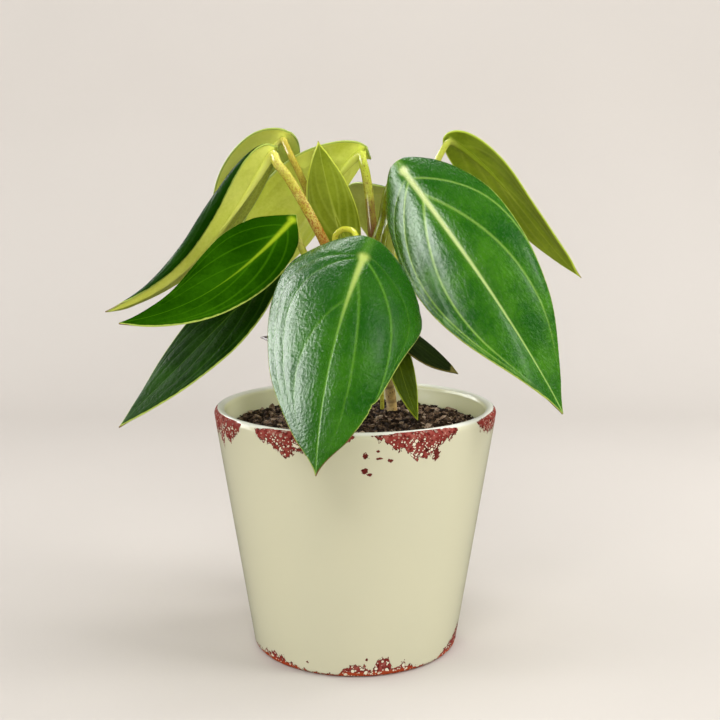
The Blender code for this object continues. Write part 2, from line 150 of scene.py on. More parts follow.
def newGroup(name, inputs, outputs):
    # inputs by name with their usual value: None stands for a vector, anything else is a number
    group = bpy.data.node_groups.new(name, "ShaderNodeTree")
    for label, usual in inputs.items():
        kind = "NodeSocketVector" if usual is None else "NodeSocketFloat"
        socket = group.interface.new_socket(label, in_out="INPUT", socket_type=kind)
        if usual is not None:
            socket.default_value = usual
    for label in outputs:
        group.interface.new_socket(label, in_out="OUTPUT", socket_type="NodeSocketFloat")
    return group, group.nodes.new("NodeGroupInput").outputs, group.nodes.new("NodeGroupOutput").inputs


def useGroup(group, **inputs):
    return addNode(treeOf(*inputs.values()), "ShaderNodeGroup", inputs, node_tree=group).outputs


def setShader(shader, **inputs):
    for label, value in inputs.items():
        plug(shader.inputs[label.replace("_", " ")], value)


def newMaterial(name, **inputs):
    material = bpy.data.materials.new(name)
    material.use_nodes = True
    shader = material.node_tree.nodes["Principled BSDF"]
    setShader(shader, **inputs)
    return material, material.node_tree, shader


def addBump(shader, height, strength, distance):
    bump = addNode(shader.id_data, "ShaderNodeBump", {"Strength": strength, "Distance": distance, "Height": height})
    plug(shader.inputs["Normal"], bump.outputs[0])


# Effects that several materials use
def makeVeinGroup():
    # a vein that leaves the midrib at Start and bends over to run along the margin
    group, entry, leave = newGroup(
        "curvedVein", dict(Station=0.5, Across=0.0, Reach=20.0, Length=100.0, Start=0.1, Rise=0.2, Spread=0.9,
                           HalfWidth=0.5, FadeEnd=0.95), ["Mask"])
    past = most(minus(entry["Station"], entry["Start"]), 0.0)
    fall = calc("EXPONENT", times(divided(past, entry["Rise"]), -1.0))
    centre = times(entry["Spread"], minus(1.0, fall))
    slope = times(divided(entry["Spread"], entry["Rise"]), fall)
    slant = times(slope, divided(entry["Reach"], entry["Length"]))
    away = calc("ABSOLUTE", minus(entry["Across"], centre))
    distance = divided(times(away, entry["Reach"]), calc("SQRT", timesPlus(slant, slant, 1.0)))
    thin = ramp(past, 0.0, 0.75, 1.35, 0.6, "LINEAR")
    line = ramp(divided(distance, times(entry["HalfWidth"], thin)), 1.8, 0.2)
    fading = ramp(entry["Station"], entry["FadeEnd"], minus(entry["FadeEnd"], 0.35))
    plug(leave["Mask"], times(line, ramp(past, 0.0, 0.012), fading))
    return group


def makeCloudGroup():
    # broad soft patches and finer mottling in one value round 0
    group, entry, leave = newGroup("cloudedTone", dict(Vector=None, Broad=60.0, Fine=400.0, FineShare=0.35), ["Tone"])
    broad = minus(noiseAt(entry["Vector"], entry["Broad"]), 0.5)
    fine = minus(noiseAt(entry["Vector"], entry["Fine"], 3.0), 0.5)
    plug(leave["Tone"], timesPlus(fine, entry["FineShare"], broad))
    return group


def makeFleckGroup():
    # scattered specks of uneven size: Cell is how many fit in a metre, Share how many places carry one
    group, entry, leave = newGroup(
        "scatteredFlecks", dict(Vector=None, Cell=400.0, Share=0.5, Size=0.3, Soft=0.08), ["Mask", "Ring"])
    cells = cellsAt(entry["Vector"], entry["Cell"])
    chance = addNode(group, "ShaderNodeSeparateColor", {0: cells["Color"]}).outputs
    kept = calc("LESS_THAN", chance[0], entry["Share"])
    size = times(entry["Size"], timesPlus(chance[1], 0.75, 0.4))
    dot = ramp(cells["Distance"], size, minus(size, entry["Soft"]))
    outer = ramp(cells["Distance"], plus(size, 0.16), plus(size, 0.04))
    plug(leave["Mask"], times(dot, kept))
    plug(leave["Ring"], times(outer, kept))
    return group


def makeGrainGroup():
    # fine pebbly skin: Height for a Bump node
    group, entry, leave = newGroup("pebbledSkin", dict(Vector=None, Scale=700.0, Coarse=0.5), ["Height"])
    fine = noiseAt(entry["Vector"], entry["Scale"], 3.0, 0.55)
    coarse = noiseAt(entry["Vector"], times(entry["Scale"], 0.3))
    plug(leave["Height"], mixValue(entry["Coarse"], fine, coarse))
    return group


def makeBrownGroup():
    # Tip is brown from TipStart to TipEnd, Burnt runs along the left margin from BurntEdge on
    group, entry, leave = newGroup(
        "brownedLeaf", dict(Station=0.5, Across=0.0, Tone=0.0, Ragged=0.03, TipStart=0.978, TipEnd=0.998,
                            BurntEdge=2.0), ["Tip", "Burnt"])
    uneven = timesPlus(entry["Tone"], entry["Ragged"], entry["Station"])
    burnt = ramp(entry["Station"], entry["BurntEdge"], plus(entry["BurntEdge"], 0.06))
    plug(leave["Tip"], ramp(uneven, entry["TipStart"], entry["TipEnd"]))
    plug(leave["Burnt"], times(burnt, calc("LESS_THAN", entry["Across"], 0.0)))
    return group


veinGroup, cloudGroup, fleckGroup = makeVeinGroup(), makeCloudGroup(), makeFleckGroup()
grainGroup, brownGroup = makeGrainGroup(), makeBrownGroup()
print("stage: shared effects made")


def addPiece(name, verts, faces, materials, faceSlots=None, attributes=None, smooth=True):
    mesh = bpy.data.meshes.new(name)
    mesh.from_pydata(np.asarray(verts).tolist(), [], faces)
    for material in materials:
        mesh.materials.append(material)
    if faceSlots is not None:
        mesh.polygons.foreach_set("material_index", np.asarray(faceSlots, dtype=np.int32))
    for label, values in (attributes or {}).items():
        layer = mesh.attributes.new(label, "FLOAT", "POINT")
        layer.data.foreach_set("value", np.asarray(values, dtype=np.float32))
    mesh.polygons.foreach_set("use_smooth", np.full(len(faces), smooth))
    mesh.update()
    piece = bpy.data.objects.new(name, mesh)
    bpy.context.scene.collection.objects.link(piece)
    return piece


def seat(piece, slot, *nodes):
    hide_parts(*nodes)
    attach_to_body(piece, "root")


def baseMidTip(values, s):
    # a curve through the values at the base, the middle and the tip
    base, mid, tip = values
    return base * (1 - s) * (1 - 2 * s) + 4 * mid * s * (1 - s) + tip * s * (2 * s - 1)


def smoothstep(x, low, high):
    t = np.clip((x - low) / (high - low), 0.0, 1.0)
    return t * t * (3 - 2 * t)


def turnsRound(count):
    return np.arange(count) * 2 * math.pi / count


def sized(vectors):
    # the same directions, one long
    return vectors / np.linalg.norm(vectors, axis=-1, keepdims=True)


def ringed(radius, turns, z):
    return list(zip(radius * np.cos(turns), radius * np.sin(turns), np.full(len(turns), z)))


def turnedFaces(rings, steps):
    # first and last point close the rings between them
    faces, last = [], 1 + rings * steps
    for i in range(steps):
        j = (i + 1) % steps
        faces.append((0, 1 + i, 1 + j))
        for a in range(1, last - steps, steps):
            faces.append((a + i, a + steps + i, a + steps + j, a + j))
        faces.append((last - steps + i, last, last - steps + j))
    return faces


def runAlong(points):
    return np.concatenate([[0.0], np.cumsum(np.linalg.norm(np.diff(points, axis=0), axis=1))])


def interpolated(at, run, points):
    return np.stack([np.interp(at, run, points[:, k]) for k in range(3)], axis=-1)


def smoothRoute(points, count):
    # evenly spaced points on a Catmull-Rom curve through the given ones
    chain = np.array(points, dtype=float)
    chain = np.vstack([2 * chain[0] - chain[1], chain, 2 * chain[-1] - chain[-2]])
    dense = []
    for i in range(1, len(chain) - 2):
        a, b, c, d = chain[i - 1:i + 3]
        for t in np.linspace(0.0, 1.0, 24, endpoint=False):
            dense.append(0.5 * (2 * b + (c - a) * t + (2 * a - 5 * b + 4 * c - d) * t * t
                                + (3 * b - a - 3 * c + d) * t ** 3))
    dense = np.array(dense + [chain[-2]])
    run = runAlong(dense)
    return interpolated(np.linspace(0.0, run[-1], count), run, dense)


def noiseOf(points, size, seed=0.0):
    return np.array([noise.noise(Vector(p) / size + Vector((seed, seed, seed))) for p in points])


# The camera stands where it does for the photo
cameraSettings = dict(place=(0.00236, -0.550, 0.229), tilt=81.17, lens=56.1, sensor=36.0)


def makeCamera():
    data = bpy.data.cameras.new("photoCamera")
    data.lens = cameraSettings["lens"]
    data.sensor_width = cameraSettings["sensor"]
    camera = bpy.data.objects.new("photoCamera", data)
    camera.location = cameraSettings["place"]
    camera.rotation_euler = (math.radians(cameraSettings["tilt"]), 0.0, 0.0)
    bpy.context.scene.collection.objects.link(camera)
    bpy.context.scene.camera = camera


makeCamera()
print("stage: camera set")


# The pot, in mm. floorThin is how much thinner the wall is at the floor than at the lip.
# The lip's arc has lipSteps steps: from lipInside of them on it counts as lip, from lipOutside on as outer face.
# wearTop and footWear shape the worn edge, glazedTop is the band at the top that keeps its glaze, and unworn stands
# for a place far from any wear.
potSettings = dict(
    height=121.6, rimRadius=70.0, baseRadius=51.7, wall=5.8, floor=7.0, floorRound=4.0, floorThin=1.5, footRound=2.8,
    steps=300, rowStep=1.5, lipSteps=18, lipInside=5, lipOutside=12, wobble=0.12, wobbleSize=60.0, wobbleFrom=4.0,
    wornSink=0.12, unworn=-9.0, wearTop=1.5, glazedTop=(1.2, 0.3), glazedPull=6.0, footWear=(2.4, 1.6),
    # the band at the top of the lip that is painted near white, a painted highlight along the rim
    rimHighlightBand=(1.6, 0.3))
# Worn places, as (angle from the front, depth below the lip or height above the foot, in mm). Right is positive.
wornLip = [
    [(-92, 0), (-88, 9), (-82, 8), (-76, 11), (-70, 8), (-66, 15), (-63, 8), (-58, 11), (-54, 8), (-50, 5), (-48, 0)],
    [(-42, 0), (-40, 3), (-35, 7), (-31, 9), (-27, 12), (-22, 9), (-17, 11), (-11, 8), (-5, 5), (-1, 3), (1, 0)],
    [(4, 0), (8, 2.5), (12, 4), (16, 8.5), (19, 8), (22, 11), (25, 14), (29, 12), (33, 8), (38, 5.5),
     (41, 4), (43, 0)],
    [(53, 0), (56, 4), (62, 7), (70, 9), (78, 8), (86, 7), (95, 0)],
    [(118, 0), (125, 6), (132, 9), (140, 13), (152, 9), (163, 3), (166, 0)],
    [(182, 0), (190, 6), (205, 10), (216, 13), (228, 7), (235, 0)]]
wornFoot = [
    [(-80, 0), (-70, 3), (-62, 3), (-56, 4), (-48, 6.5), (-42, 4.5), (-37, 3.5), (-30, 1.5), (-26, 0)],
    [(-9, 0), (-7, 2.5), (-2, 7), (2, 6), (5, 7), (7, 2.5), (9, 3), (12, 9), (17, 9.5), (20, 3.5), (23, 3.5),
     (26, 7), (28, 4), (31, 4.5), (35, 1.5), (38, 0)],
    [(47, 0), (52, 3), (60, 6), (68, 9), (74, 13), (80, 8), (90, 0)],
    [(110, 0), (125, 7), (150, 4), (168, 8), (182, 3), (205, 7), (230, 4), (250, 0)]]
# Small marks: (angle, height, width, height of the mark), in degrees and mm
potMarks = [(4.0, 111.2, 2.2, 3.0), (8.5, 113.4, 1.5, 1.0), (9.3, 110.0, 2.8, 1.3), (13.4, 108.8, 2.4, 1.5),
            (3.8, 104.4, 2.4, 2.6), (5.6, 102.6, 1.8, 1.6), (-27.0, 108.6, 1.2, 1.2), (32.3, 109.6, 3.6, 5.2),
            (-25.4, 6.0, 1.5, 1.5), (6.0, 9.6, 1.3, 1.3), (150.0, 98.0, 3.0, 2.0), (200.0, 96.0, 2.0, 2.6)]
# Edges and bands run from their first value to their second. arcRadius turns an angle into mm along the outside.
glazeLook = dict(
    # inside and rim are painted light: the inner wall is paler than the outer glaze for the light inside the pot, and
    # the lip is near white for the shine along it
    glaze=(0.592, 0.574, 0.412), glazeWarm=(0.600, 0.579, 0.412), inside=(0.72, 0.71, 0.47), rim=(0.78, 0.78, 0.72),
    clay=(0.235, 0.036, 0.029), clayLight=(0.32, 0.090, 0.070), clayDark=(0.050, 0.008, 0.006),
    footClay=(0.36, 0.055, 0.020), fleck=(0.74, 0.70, 0.54), glazeRough=0.20, glazeSmear=0.04, clayRough=0.60,
    glazeShine=0.2, clayShine=0.01, coat=0.08, arcRadius=62.0, ragged=10.0, torn=3.5, markTorn=2.6,
    patchEdge=(-0.12, 0.12), rimEdge=(0.75, 0.15), markEdge=(1.08, 0.9), fleckEdge=(0.5, 1.2),
    fleckBand=(119.5, 116.5), footBand=(3.6, 2.2), drip=(1.0, 1.0, 0.4), cloudDrip=(1.0, 1.0, 0.5),
    clouds=dict(Broad=34.0, Fine=260.0, FineShare=0.12), skin=dict(Scale=160.0, Coarse=0.6),
    bigFlecks=dict(Cell=410.0, Share=0.85, Size=0.38, Soft=0.08),
    smallFlecks=dict(Cell=850.0, Share=0.9, Size=0.40, Soft=0.12),
    pins=dict(Cell=120.0, Share=0.25, Size=0.05, Soft=0.03))


def arcPoints(centre, radius, start, end, count):
    angles = np.radians(np.linspace(start, end, count + 1))
    return [(centre[0] + radius * math.cos(a), centre[1] + radius * math.sin(a)) for a in angles]


def lineAt(table, angle):
    # the deepest of the worn places' outlines at an angle
    best = 0.0
    for points in table:
        xs, ys = zip(*points)
        for turn in (-360, 0, 360):
            best = max(best, float(np.interp(angle + turn, xs, ys, left=0.0, right=0.0)))
    return best


def makeGlaze():
    look = glazeLook
    material, tree, shader = newMaterial("glazedClay", IOR=1.5, Coat_Roughness=0.08)
    spot = places(tree)
    worn, inner, lipHighlightMask = attributesOf(tree, "worn", "inner", "lip")
    x, y, z = addNode(tree, "ShaderNodeSeparateXYZ", {0: spot}).outputs
    arcRun = times(calc("ARCTAN2", x, times(y, -1.0)), look["arcRadius"])
    height = times(z, 1 / mm)
    ragged = minus(noiseAt(stretched(spot, look["drip"]), 400.0, 3.0, 0.62, 0.5), 0.5)
    torn = minus(noiseAt(spot, 900.0), 0.5)
    edge = timesPlus(torn, look["torn"], timesPlus(ragged, look["ragged"], worn))
    marks = 0.0
    for angle, middle, wide, tall in potMarks:
        du = divided(minus(arcRun, math.radians(angle) * look["arcRadius"]), wide / 2)
        dv = divided(minus(height, middle), tall / 2)
        marks = most(ramp(timesPlus(torn, look["markTorn"], lengthOf(du, dv)), *look["markEdge"]), marks)
    outside = minus(1.0, inner)
    patch = times(most(ramp(edge, *look["patchEdge"]), marks), outside)
    rimLine = times(ramp(calc("ABSOLUTE", edge), *look["rimEdge"]), outside)
    big, small, pins = (useGroup(fleckGroup, Vector=spot, **look[key]) for key in ("bigFlecks", "smallFlecks", "pins"))
    within = times(ramp(edge, *look["fleckEdge"]), ramp(height, *look["fleckBand"], 0.15, 1.0))
    flecks = times(most(big["Mask"], small["Mask"]), within)
    outline = times(most(big["Ring"], times(small["Ring"], 0.5)), within)
    lace = noiseAt(spot, 520.0, 3.0, 0.6)
    clay = layered(
        look["clayDark"],
        (ramp(lace, 0.30, 0.48), look["clay"]),
        (ramp(noiseAt(spot, 260.0), 0.5, 0.72), look["clayLight"]),
        (times(outline, 0.75), look["clayDark"]),  # a dark line round each speck of glaze
        (ramp(height, *look["footBand"]), look["footClay"]))
    tone = useGroup(cloudGroup, Vector=stretched(spot, look["cloudDrip"]), **look["clouds"])["Tone"]
    glaze = layered(
        # painted light: the inside wall gets a paler colour than the outer glaze, for the light that reaches into the
        # pot
        look["glaze"], (ramp(tone, -0.2, 0.25), look["glazeWarm"]), (inner, look["inside"]),
        # painted highlight: the lip is painted near white for the shine along the rim
        (lipHighlightMask, look["rim"]), (times(pins["Mask"], 0.35), look["inside"]))
    bare = times(patch, minus(1.0, flecks))
    colour = layered(
        glaze, (bare, clay), (times(flecks, patch), look["fleck"]), (times(rimLine, 0.9, patch), look["clayDark"]),
        (times(marks, outside, 0.6), look["clayDark"]))
    smear = ramp(noiseAt(spot, 90.0, 3.0), 0.35, 0.7, look["glazeRough"], look["glazeRough"] + look["glazeSmear"])
    setShader(shader, Base_Color=colour, Roughness=mixValue(bare, smear, look["clayRough"]),
              Specular_IOR_Level=timesPlus(bare, look["clayShine"] - look["glazeShine"], look["glazeShine"]),
              Coat_Weight=timesPlus(bare, -look["coat"], look["coat"]))
    skin = useGroup(grainGroup, Vector=spot, **look["skin"])["Height"]
    step = timesPlus(bare, -0.6, times(skin, 0.002))
    addBump(shader, timesPlus(times(lace, bare), 0.5, step), strength=0.6, distance=0.0003)
    return material


def innerFloorRadius():
    return potSettings["baseRadius"] - potSettings["wall"] + potSettings["floorThin"]


def potProfile():
    # radius and height from the middle of the floor over the lip to the middle of the base, and where the lip ends
    s = potSettings
    lip, curve, foot, innerFloor = s["wall"] / 2, s["floorRound"], s["footRound"], innerFloorRadius()
    points = [(0.0, s["floor"]), (innerFloor * 0.5, s["floor"])]
    points += arcPoints((innerFloor - curve, s["floor"] + curve), curve, -90, 0, 5)
    low, high = np.array(points[-1]), np.array((s["rimRadius"] - s["wall"], s["height"] - lip))
    points += [tuple(low + (high - low) * share) for share in (0.3, 0.6, 0.8, *np.linspace(0.85, 0.99, 9))]
    points += arcPoints((s["rimRadius"] - lip, s["height"] - lip), lip, 180, 0, s["lipSteps"])
    lipEnd = len(points)
    high, low = np.array(points[-1]), np.array((s["baseRadius"], foot))
    rows = int(np.linalg.norm(high - low) / s["rowStep"])
    points += [tuple(high + (low - high) * (i + 1) / rows) for i in range(rows - 1)]
    points += arcPoints((s["baseRadius"] - foot, foot), foot, 0, -90, 8)
    return points + [(s["baseRadius"] * 0.5, 0.0), (0.0, 0.0)], lipEnd


def wornField(z, topLine, footLine):
    # how many mm inside a worn place the points at height z lie: below 0 they are glazed
    s = potSettings
    below = s["height"] - z
    field = np.where(topLine > 0, topLine - np.maximum(below, s["wearTop"]), s["unworn"])
    field = field - s["glazedPull"] * smoothstep(below, *s["glazedTop"])
    field = np.maximum(field, np.where(footLine > 0, footLine - z, s["unworn"]))
    return np.maximum(field, s["footWear"][0] - z * s["footWear"][1])


def makePot():
    s = potSettings
    profile, lipEnd = potProfile()
    lipStart, steps = lipEnd - s["lipSteps"] - 1, s["steps"]
    turns = turnsRound(steps)
    angles = np.degrees(turns)
    angles = np.where(angles > 180, angles - 360, angles)
    right, ahead = np.sin(turns), -np.cos(turns)
    topLine, footLine = (np.array([lineAt(table, angle) for angle in angles]) for table in (wornLip, wornFoot))
    verts, worn, inner, paintedLipHighlight = [(0.0, 0.0, s["floor"])], [s["unworn"]], [1.0], [0.0]
    for index, (radius, z) in enumerate(profile[1:-1], start=1):
        outer = index >= lipStart + s["lipOutside"]
        field = wornField(z, topLine, footLine) if outer else np.full(steps, s["unworn"])
        wobble = 0.0
        if z > s["wobbleFrom"]:
            spots = zip(right * radius, ahead * radius, np.full(steps, z))
            wobble = s["wobble"] * (0.5 + 0.5 * noiseOf(spots, s["wobbleSize"]))
        real = radius - s["wornSink"] * smoothstep(field, -0.5, 1.0) - (wobble if outer else -wobble)
        verts += zip(right * real, ahead * real, np.full(steps, z))
        worn += field.tolist()
        inner += [float(index < lipStart + s["lipInside"])] * steps
        # painted highlight: the top of the lip is marked for the near white colour that stands in for the shine along
        # the rim
        paintedLipHighlight += [float(smoothstep(z, *(s["height"] - band for band in s["rimHighlightBand"])))] * steps
    verts.append((0.0, 0.0, 0.0))
    attributes = dict(worn=worn + [1.0], inner=inner + [0.0], lip=paintedLipHighlight + [0.0])
    faces = turnedFaces(len(profile) - 2, steps)
    seat(addPiece("potGlazed", np.array(verts) * mm, faces, [makeGlaze()], attributes=attributes), "glaze", "pot")


makePot()
print("stage: pot made")


# The soil, in mm. Each lump size comes with its height. Chips: size is least + spread * chance ** power.
soilSettings = dict(
    edgeHeight=110.8, mound=2.2, rings=78, steps=230, lumps=((9.0, 1.1), (3.2, 1.0), (1.3, 0.6)), edgeGap=0.35,
    shoulder=13.0, bottom=7.3, bottomRadius=42.0, wallCalm=2.5, seed=7, uneven=0.28, wallRoom=0.6, chips=dict(
        crumb=dict(count=3300, least=0.45, spread=1.15, power=2.0, flat=1.0, lift=0.25, pale=0.08),
        flake=dict(count=1100, least=0.9, spread=1.5, power=1.5, flat=0.45, lift=0.35, pale=0.30)),
    fibres=70, fibreSteps=7)
# The stops run from 0 to shadeTop, which the palest chips reach
soilLook = dict(
    dark=(0.006, 0.0035, 0.002), brown=(0.035, 0.020, 0.012), light=(0.20, 0.125, 0.080), pale=(0.60, 0.47, 0.36),
    stops=dict(brown=0.55, light=0.95, pale=1.35), shadeTop=1.4, rough=0.85, wetRough=0.60, shine=0.12,
    clouds=dict(Broad=420.0, Fine=1500.0, FineShare=0.7), grit=dict(Scale=1800.0, Coarse=0.5))


def potInnerRadius(z):
    s = potSettings
    low, high = s["floor"] + s["floorRound"], s["height"] - s["wall"] / 2
    return innerFloorRadius() + (z - low) / (high - low) * (s["rimRadius"] - s["wall"] - innerFloorRadius())


def soilEdge():
    return potInnerRadius(soilSettings["edgeHeight"]) - soilSettings["edgeGap"]


def soilTop(x, y):
    s, edge = soilSettings, soilEdge()
    radius = np.hypot(x, y)
    z = s["edgeHeight"] + s["mound"] * (1 - np.minimum(radius / edge, 1.0) ** 2)
    spots = np.stack([x, y, z], axis=1)
    rough = sum(amount * noiseOf(spots, size) for size, amount in s["lumps"])
    return z + rough * (0.25 + 0.75 * smoothstep(edge - radius, 0.0, s["wallCalm"]))


def makeSoilMaterial(name, tones):
    look = soilLook
    material, tree, shader = newMaterial(name, IOR=1.4, Specular_IOR_Level=look["shine"])
    spot = places(tree)
    tone = useGroup(cloudGroup, Vector=spot, **look["clouds"])["Tone"]
    shade = ramp(tone, -0.25, 0.3)
    if tones:
        shade = timesPlus(shade, 0.45, attributesOf(tree, "tone")[0])
    colour = addNode(tree, "ShaderNodeValToRGB", {0: divided(shade, look["shadeTop"])})
    stops = colour.color_ramp.elements
    stops[0].color = (*look["dark"], 1.0)
    for key, place in look["stops"].items():
        stops.new(place / look["shadeTop"]).color = (*look[key], 1.0)
    stops.remove(stops[-1])
    setShader(shader, Base_Color=colour.outputs[0], Roughness=ramp(tone, -0.3, 0.3, look["rough"], look["wetRough"]))
    grit = useGroup(grainGroup, Vector=spot, **look["grit"])["Height"]
    addBump(shader, grit, strength=0.8, distance=0.0005)
    return material


def makeSoil():
    s = soilSettings
    turns = turnsRound(s["steps"])
    radii = np.linspace(0.0, soilEdge(), s["rings"] + 1)[1:]
    x, y = ((radii[:, None] * way(turns)).ravel() for way in (np.cos, np.sin))
    verts = [(0.0, 0.0, float(soilTop(np.zeros(1), np.zeros(1))[0]))] + list(zip(x, y, soilTop(x, y)))
    verts += ringed(potInnerRadius(s["shoulder"]) - s["edgeGap"], turns, s["shoulder"])
    verts += ringed(s["bottomRadius"], turns, s["bottom"])
    verts.append((0.0, 0.0, s["bottom"]))
    faces = turnedFaces(s["rings"] + 2, s["steps"])
    seat(addPiece("soilBed", np.array(verts) * mm, faces, [makeSoilMaterial("peat", False)]), "soil", "soil")


def randomTurns(rng, count):
    w, x, y, z = sized(rng.normal(size=(count, 4))).T
    return np.stack([np.stack([1 - 2 * (y * y + z * z), 2 * (x * y - z * w), 2 * (x * z + y * w)], axis=1),
                     np.stack([2 * (x * y + z * w), 1 - 2 * (x * x + z * z), 2 * (y * z - x * w)], axis=1),
                     np.stack([2 * (x * z - y * w), 2 * (y * z + x * w), 1 - 2 * (x * x + y * y)], axis=1)], axis=1)


def chipShapes():
    # a rounded lump with twenty sides and a box
    golden = (1 + 5 ** 0.5) / 2
    crumbShape = np.array([np.roll((x, y, 0), turn) for turn in range(3) for y in (golden, -golden)
                           for x in (-1, 1)]) / 1.9
    crumbFaces = [(0, 11, 5), (0, 5, 1), (0, 1, 7), (0, 7, 10), (0, 10, 11), (1, 5, 9), (5, 11, 4), (11, 10, 2),
                  (10, 7, 6), (7, 1, 8), (3, 9, 4), (3, 4, 2), (3, 2, 6), (3, 6, 8), (3, 8, 9), (4, 9, 5),
                  (2, 4, 11), (6, 2, 10), (8, 6, 7), (9, 8, 1)]
    flakeShape = np.array([(x, y, z) for x in (-1, 1) for y in (-1, 1) for z in (-1, 1)], dtype=float)
    flakeFaces = [(0, 1, 3, 2), (4, 6, 7, 5), (0, 4, 5, 1), (2, 3, 7, 6), (0, 2, 6, 4), (1, 5, 7, 3)]
    return dict(crumb=(crumbShape, crumbFaces), flake=(flakeShape, flakeFaces))


def scatterChips(rng, verts, faces, tones):
    s, edge = soilSettings, soilEdge()
    for name, (shape, shapeFaces) in chipShapes().items():
        kind = s["chips"][name]
        count = kind["count"]
        radius = edge * np.sqrt(rng.random(count)) * 0.985
        turn = rng.random(count) * 2 * math.pi
        x, y = radius * np.cos(turn), radius * np.sin(turn)
        size = kind["least"] + kind["spread"] * rng.random(count) ** kind["power"]
        if name == "crumb":
            scale = size[:, None] * (0.65 + 0.7 * rng.random((count, 3)))
        else:
            scale = size[:, None] * np.stack([np.ones(count), 0.35 + 0.3 * rng.random(count),
                                              0.12 + 0.12 * rng.random(count)], axis=1)
        uneven = rng.normal(size=(count, len(shape), 3)).clip(-1.5, 1.5)
        body = shape[None] * (1 + s["uneven"] * uneven) * scale[:, None]
        body = np.einsum("nij,nkj->nki", randomTurns(rng, count), body)
        body[:, :, 2] *= kind["flat"]
        body += np.stack([x, y, soilTop(x, y) + size * kind["lift"]], axis=1)[:, None]
        tone = rng.random(count) ** 1.7 * 0.75
        pale = rng.random(count) < kind["pale"]
        tone = np.where(pale, 0.75 + 0.25 * rng.random(count), tone)
        room = (potInnerRadius(s["edgeHeight"]) - s["wallRoom"]) - np.hypot(x, y)
        for i in np.flatnonzero(room > size * 0.9):
            first = len(verts)
            verts += body[i].tolist()
            faces += [tuple(first + v for v in face) for face in shapeFaces]
            tones += [tone[i]] * len(shape)


def scatterFibres(rng, verts, faces, tones):
    s, edge, steps = soilSettings, soilEdge(), soilSettings["fibreSteps"]
    for _ in range(s["fibres"]):
        radius, turn = edge * 0.9 * math.sqrt(rng.random()), rng.random() * 2 * math.pi
        heading, bend = rng.random() * 2 * math.pi, rng.normal() * 0.25
        length, thick = 4 + 8 * rng.random(), 0.10 + 0.08 * rng.random()
        xs, ys = [radius * math.cos(turn)], [radius * math.sin(turn)]
        for _ in range(steps):
            xs.append(xs[-1] + math.cos(heading) * length / steps)
            ys.append(ys[-1] + math.sin(heading) * length / steps)
            heading += bend
        xs, ys = np.array(xs), np.array(ys)
        if np.hypot(xs, ys).max() > edge - 1.5:
            continue
        zs = soilTop(xs, ys) + 0.5 + 0.5 * rng.random()
        tone = 0.45 + 0.5 * rng.random()
        first, last = len(verts), len(verts) + 3 * steps
        for x, y, z in zip(xs, ys, zs):
            verts += [(x + thick, y, z - thick), (x - thick, y + thick, z - thick), (x, y - thick, z + thick)]
            tones += [tone] * 3
        for ring in range(first, last, 3):
            for k in range(3):
                a, b = ring + k, ring + (k + 1) % 3
                faces.append((a, b, b + 3, a + 3))
        faces += [(first + 2, first + 1, first), (last, last + 1, last + 2)]


def makeSoilChips():
    rng = np.random.default_rng(soilSettings["seed"])
    verts, faces, tones = [], [], []
    scatterChips(rng, verts, faces, tones)
    scatterFibres(rng, verts, faces, tones)
    chips = addPiece("soilChips", np.array(verts) * mm, faces, [makeSoilMaterial("peatChips", True)],
                     attributes=dict(tone=tones), smooth=False)
    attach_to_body(chips, "root")


makeSoil()
makeSoilChips()
print("stage: soil made")


# Blades, in mm, but for the shares of the length (firstRow, lastRow, pointStart) and of the width (earStart).
# cell is the mesh size. Relief is as given on leaves from fullRelief wide, and shallower on smaller ones.
bladeSettings = dict(
    cell=1.15, firstRow=0.0012, lastRow=0.994, thick=1.2, thinEdge=0.36, edgeRound=1.6, pointStart=0.62, flatBelow=5.0,
    crease=1.8, turnSteps=6, earStart=0.35, veinSink=0.42, veinWidth=2.0, midSink=0.75, midWidth=2.8, dentSink=0.5,
    dentWidth=3.5, fullRelief=40.0, waveLength=11.5, rimPush=0.10)
# The faces' own values: veinGrowth widens the veins, midShrink thins the midrib
faceLooks = dict(
    upper=dict(veinGrowth=1.0, midShrink=1.8, clouds=dict(Broad=55.0, Fine=520.0, FineShare=0.45),
               grain=dict(Scale=820.0, Coarse=0.35), bump=dict(strength=0.8, distance=0.0006)),
    under=dict(veinGrowth=1.3, midShrink=1.6, clouds=dict(Broad=48.0, Fine=600.0, FineShare=0.5),
               grain=dict(Scale=800.0, Coarse=0.4), bump=dict(strength=0.4, distance=0.0004)),
    margin=dict(clouds=dict(Broad=130.0, Fine=700.0, FineShare=0.4), paler=1.25))


def leaf(attach, length, width, heading, pitch, roll, look, **shape):
    # metres and degrees: three numbers stand for base, middle and tip
    settings = dict(attach=attach, length=length, width=width, heading=heading, pitch=pitch, roll=roll, look=look,
                    heel=0.006, fold=(5, 5, 5), curl=(-20, -20, -10), share=(1.0, 1.0, 1.0), lip=(0, 0, 0),
                    roundness=0.50, taper=0.92, drip=0.22, wave=0.25, nicks=(), veins=None, tipPoint=(0.90, 0.45),
                    heelPoint=(0.05, 0.0), lipStart=0.65, earLeft=0, earRight=0, earLength=0.06)
    settings.update(shape)
    for key in ("fold", "curl", "share", "lip"):
        for side in ("Left", "Right"):
            settings.setdefault(key + side, settings[key])
    return settings


def leafLook(**changes):
    look = dict(
        deep=(0.008, 0.080, 0.001), fresh=(0.040, 0.165, 0.006), vein=(0.11, 0.30, 0.02), veinShare=0.70,
        midrib=(0.33, 0.50, 0.06), midWidth=(1.5, 0.35), midEnd=0.75, edge=(0.36, 0.45, 0.08), edgeWidth=0.40,
        tip=(0.16, 0.07, 0.025), tipStart=0.978, burntEdge=2.0, rough=0.24, coat=0.12, shine=0.5,
        under=(0.34, 0.44, 0.020), underLight=(0.50, 0.58, 0.045), underRib=(0.60, 0.66, 0.10), underRough=0.40,
        # the last two are painted shade over the underside's right half, and the colour of that shade
        darkHalf=0.0, darkTone=(0.16, 0.20, 0.005))
    look.update(changes)
    return look


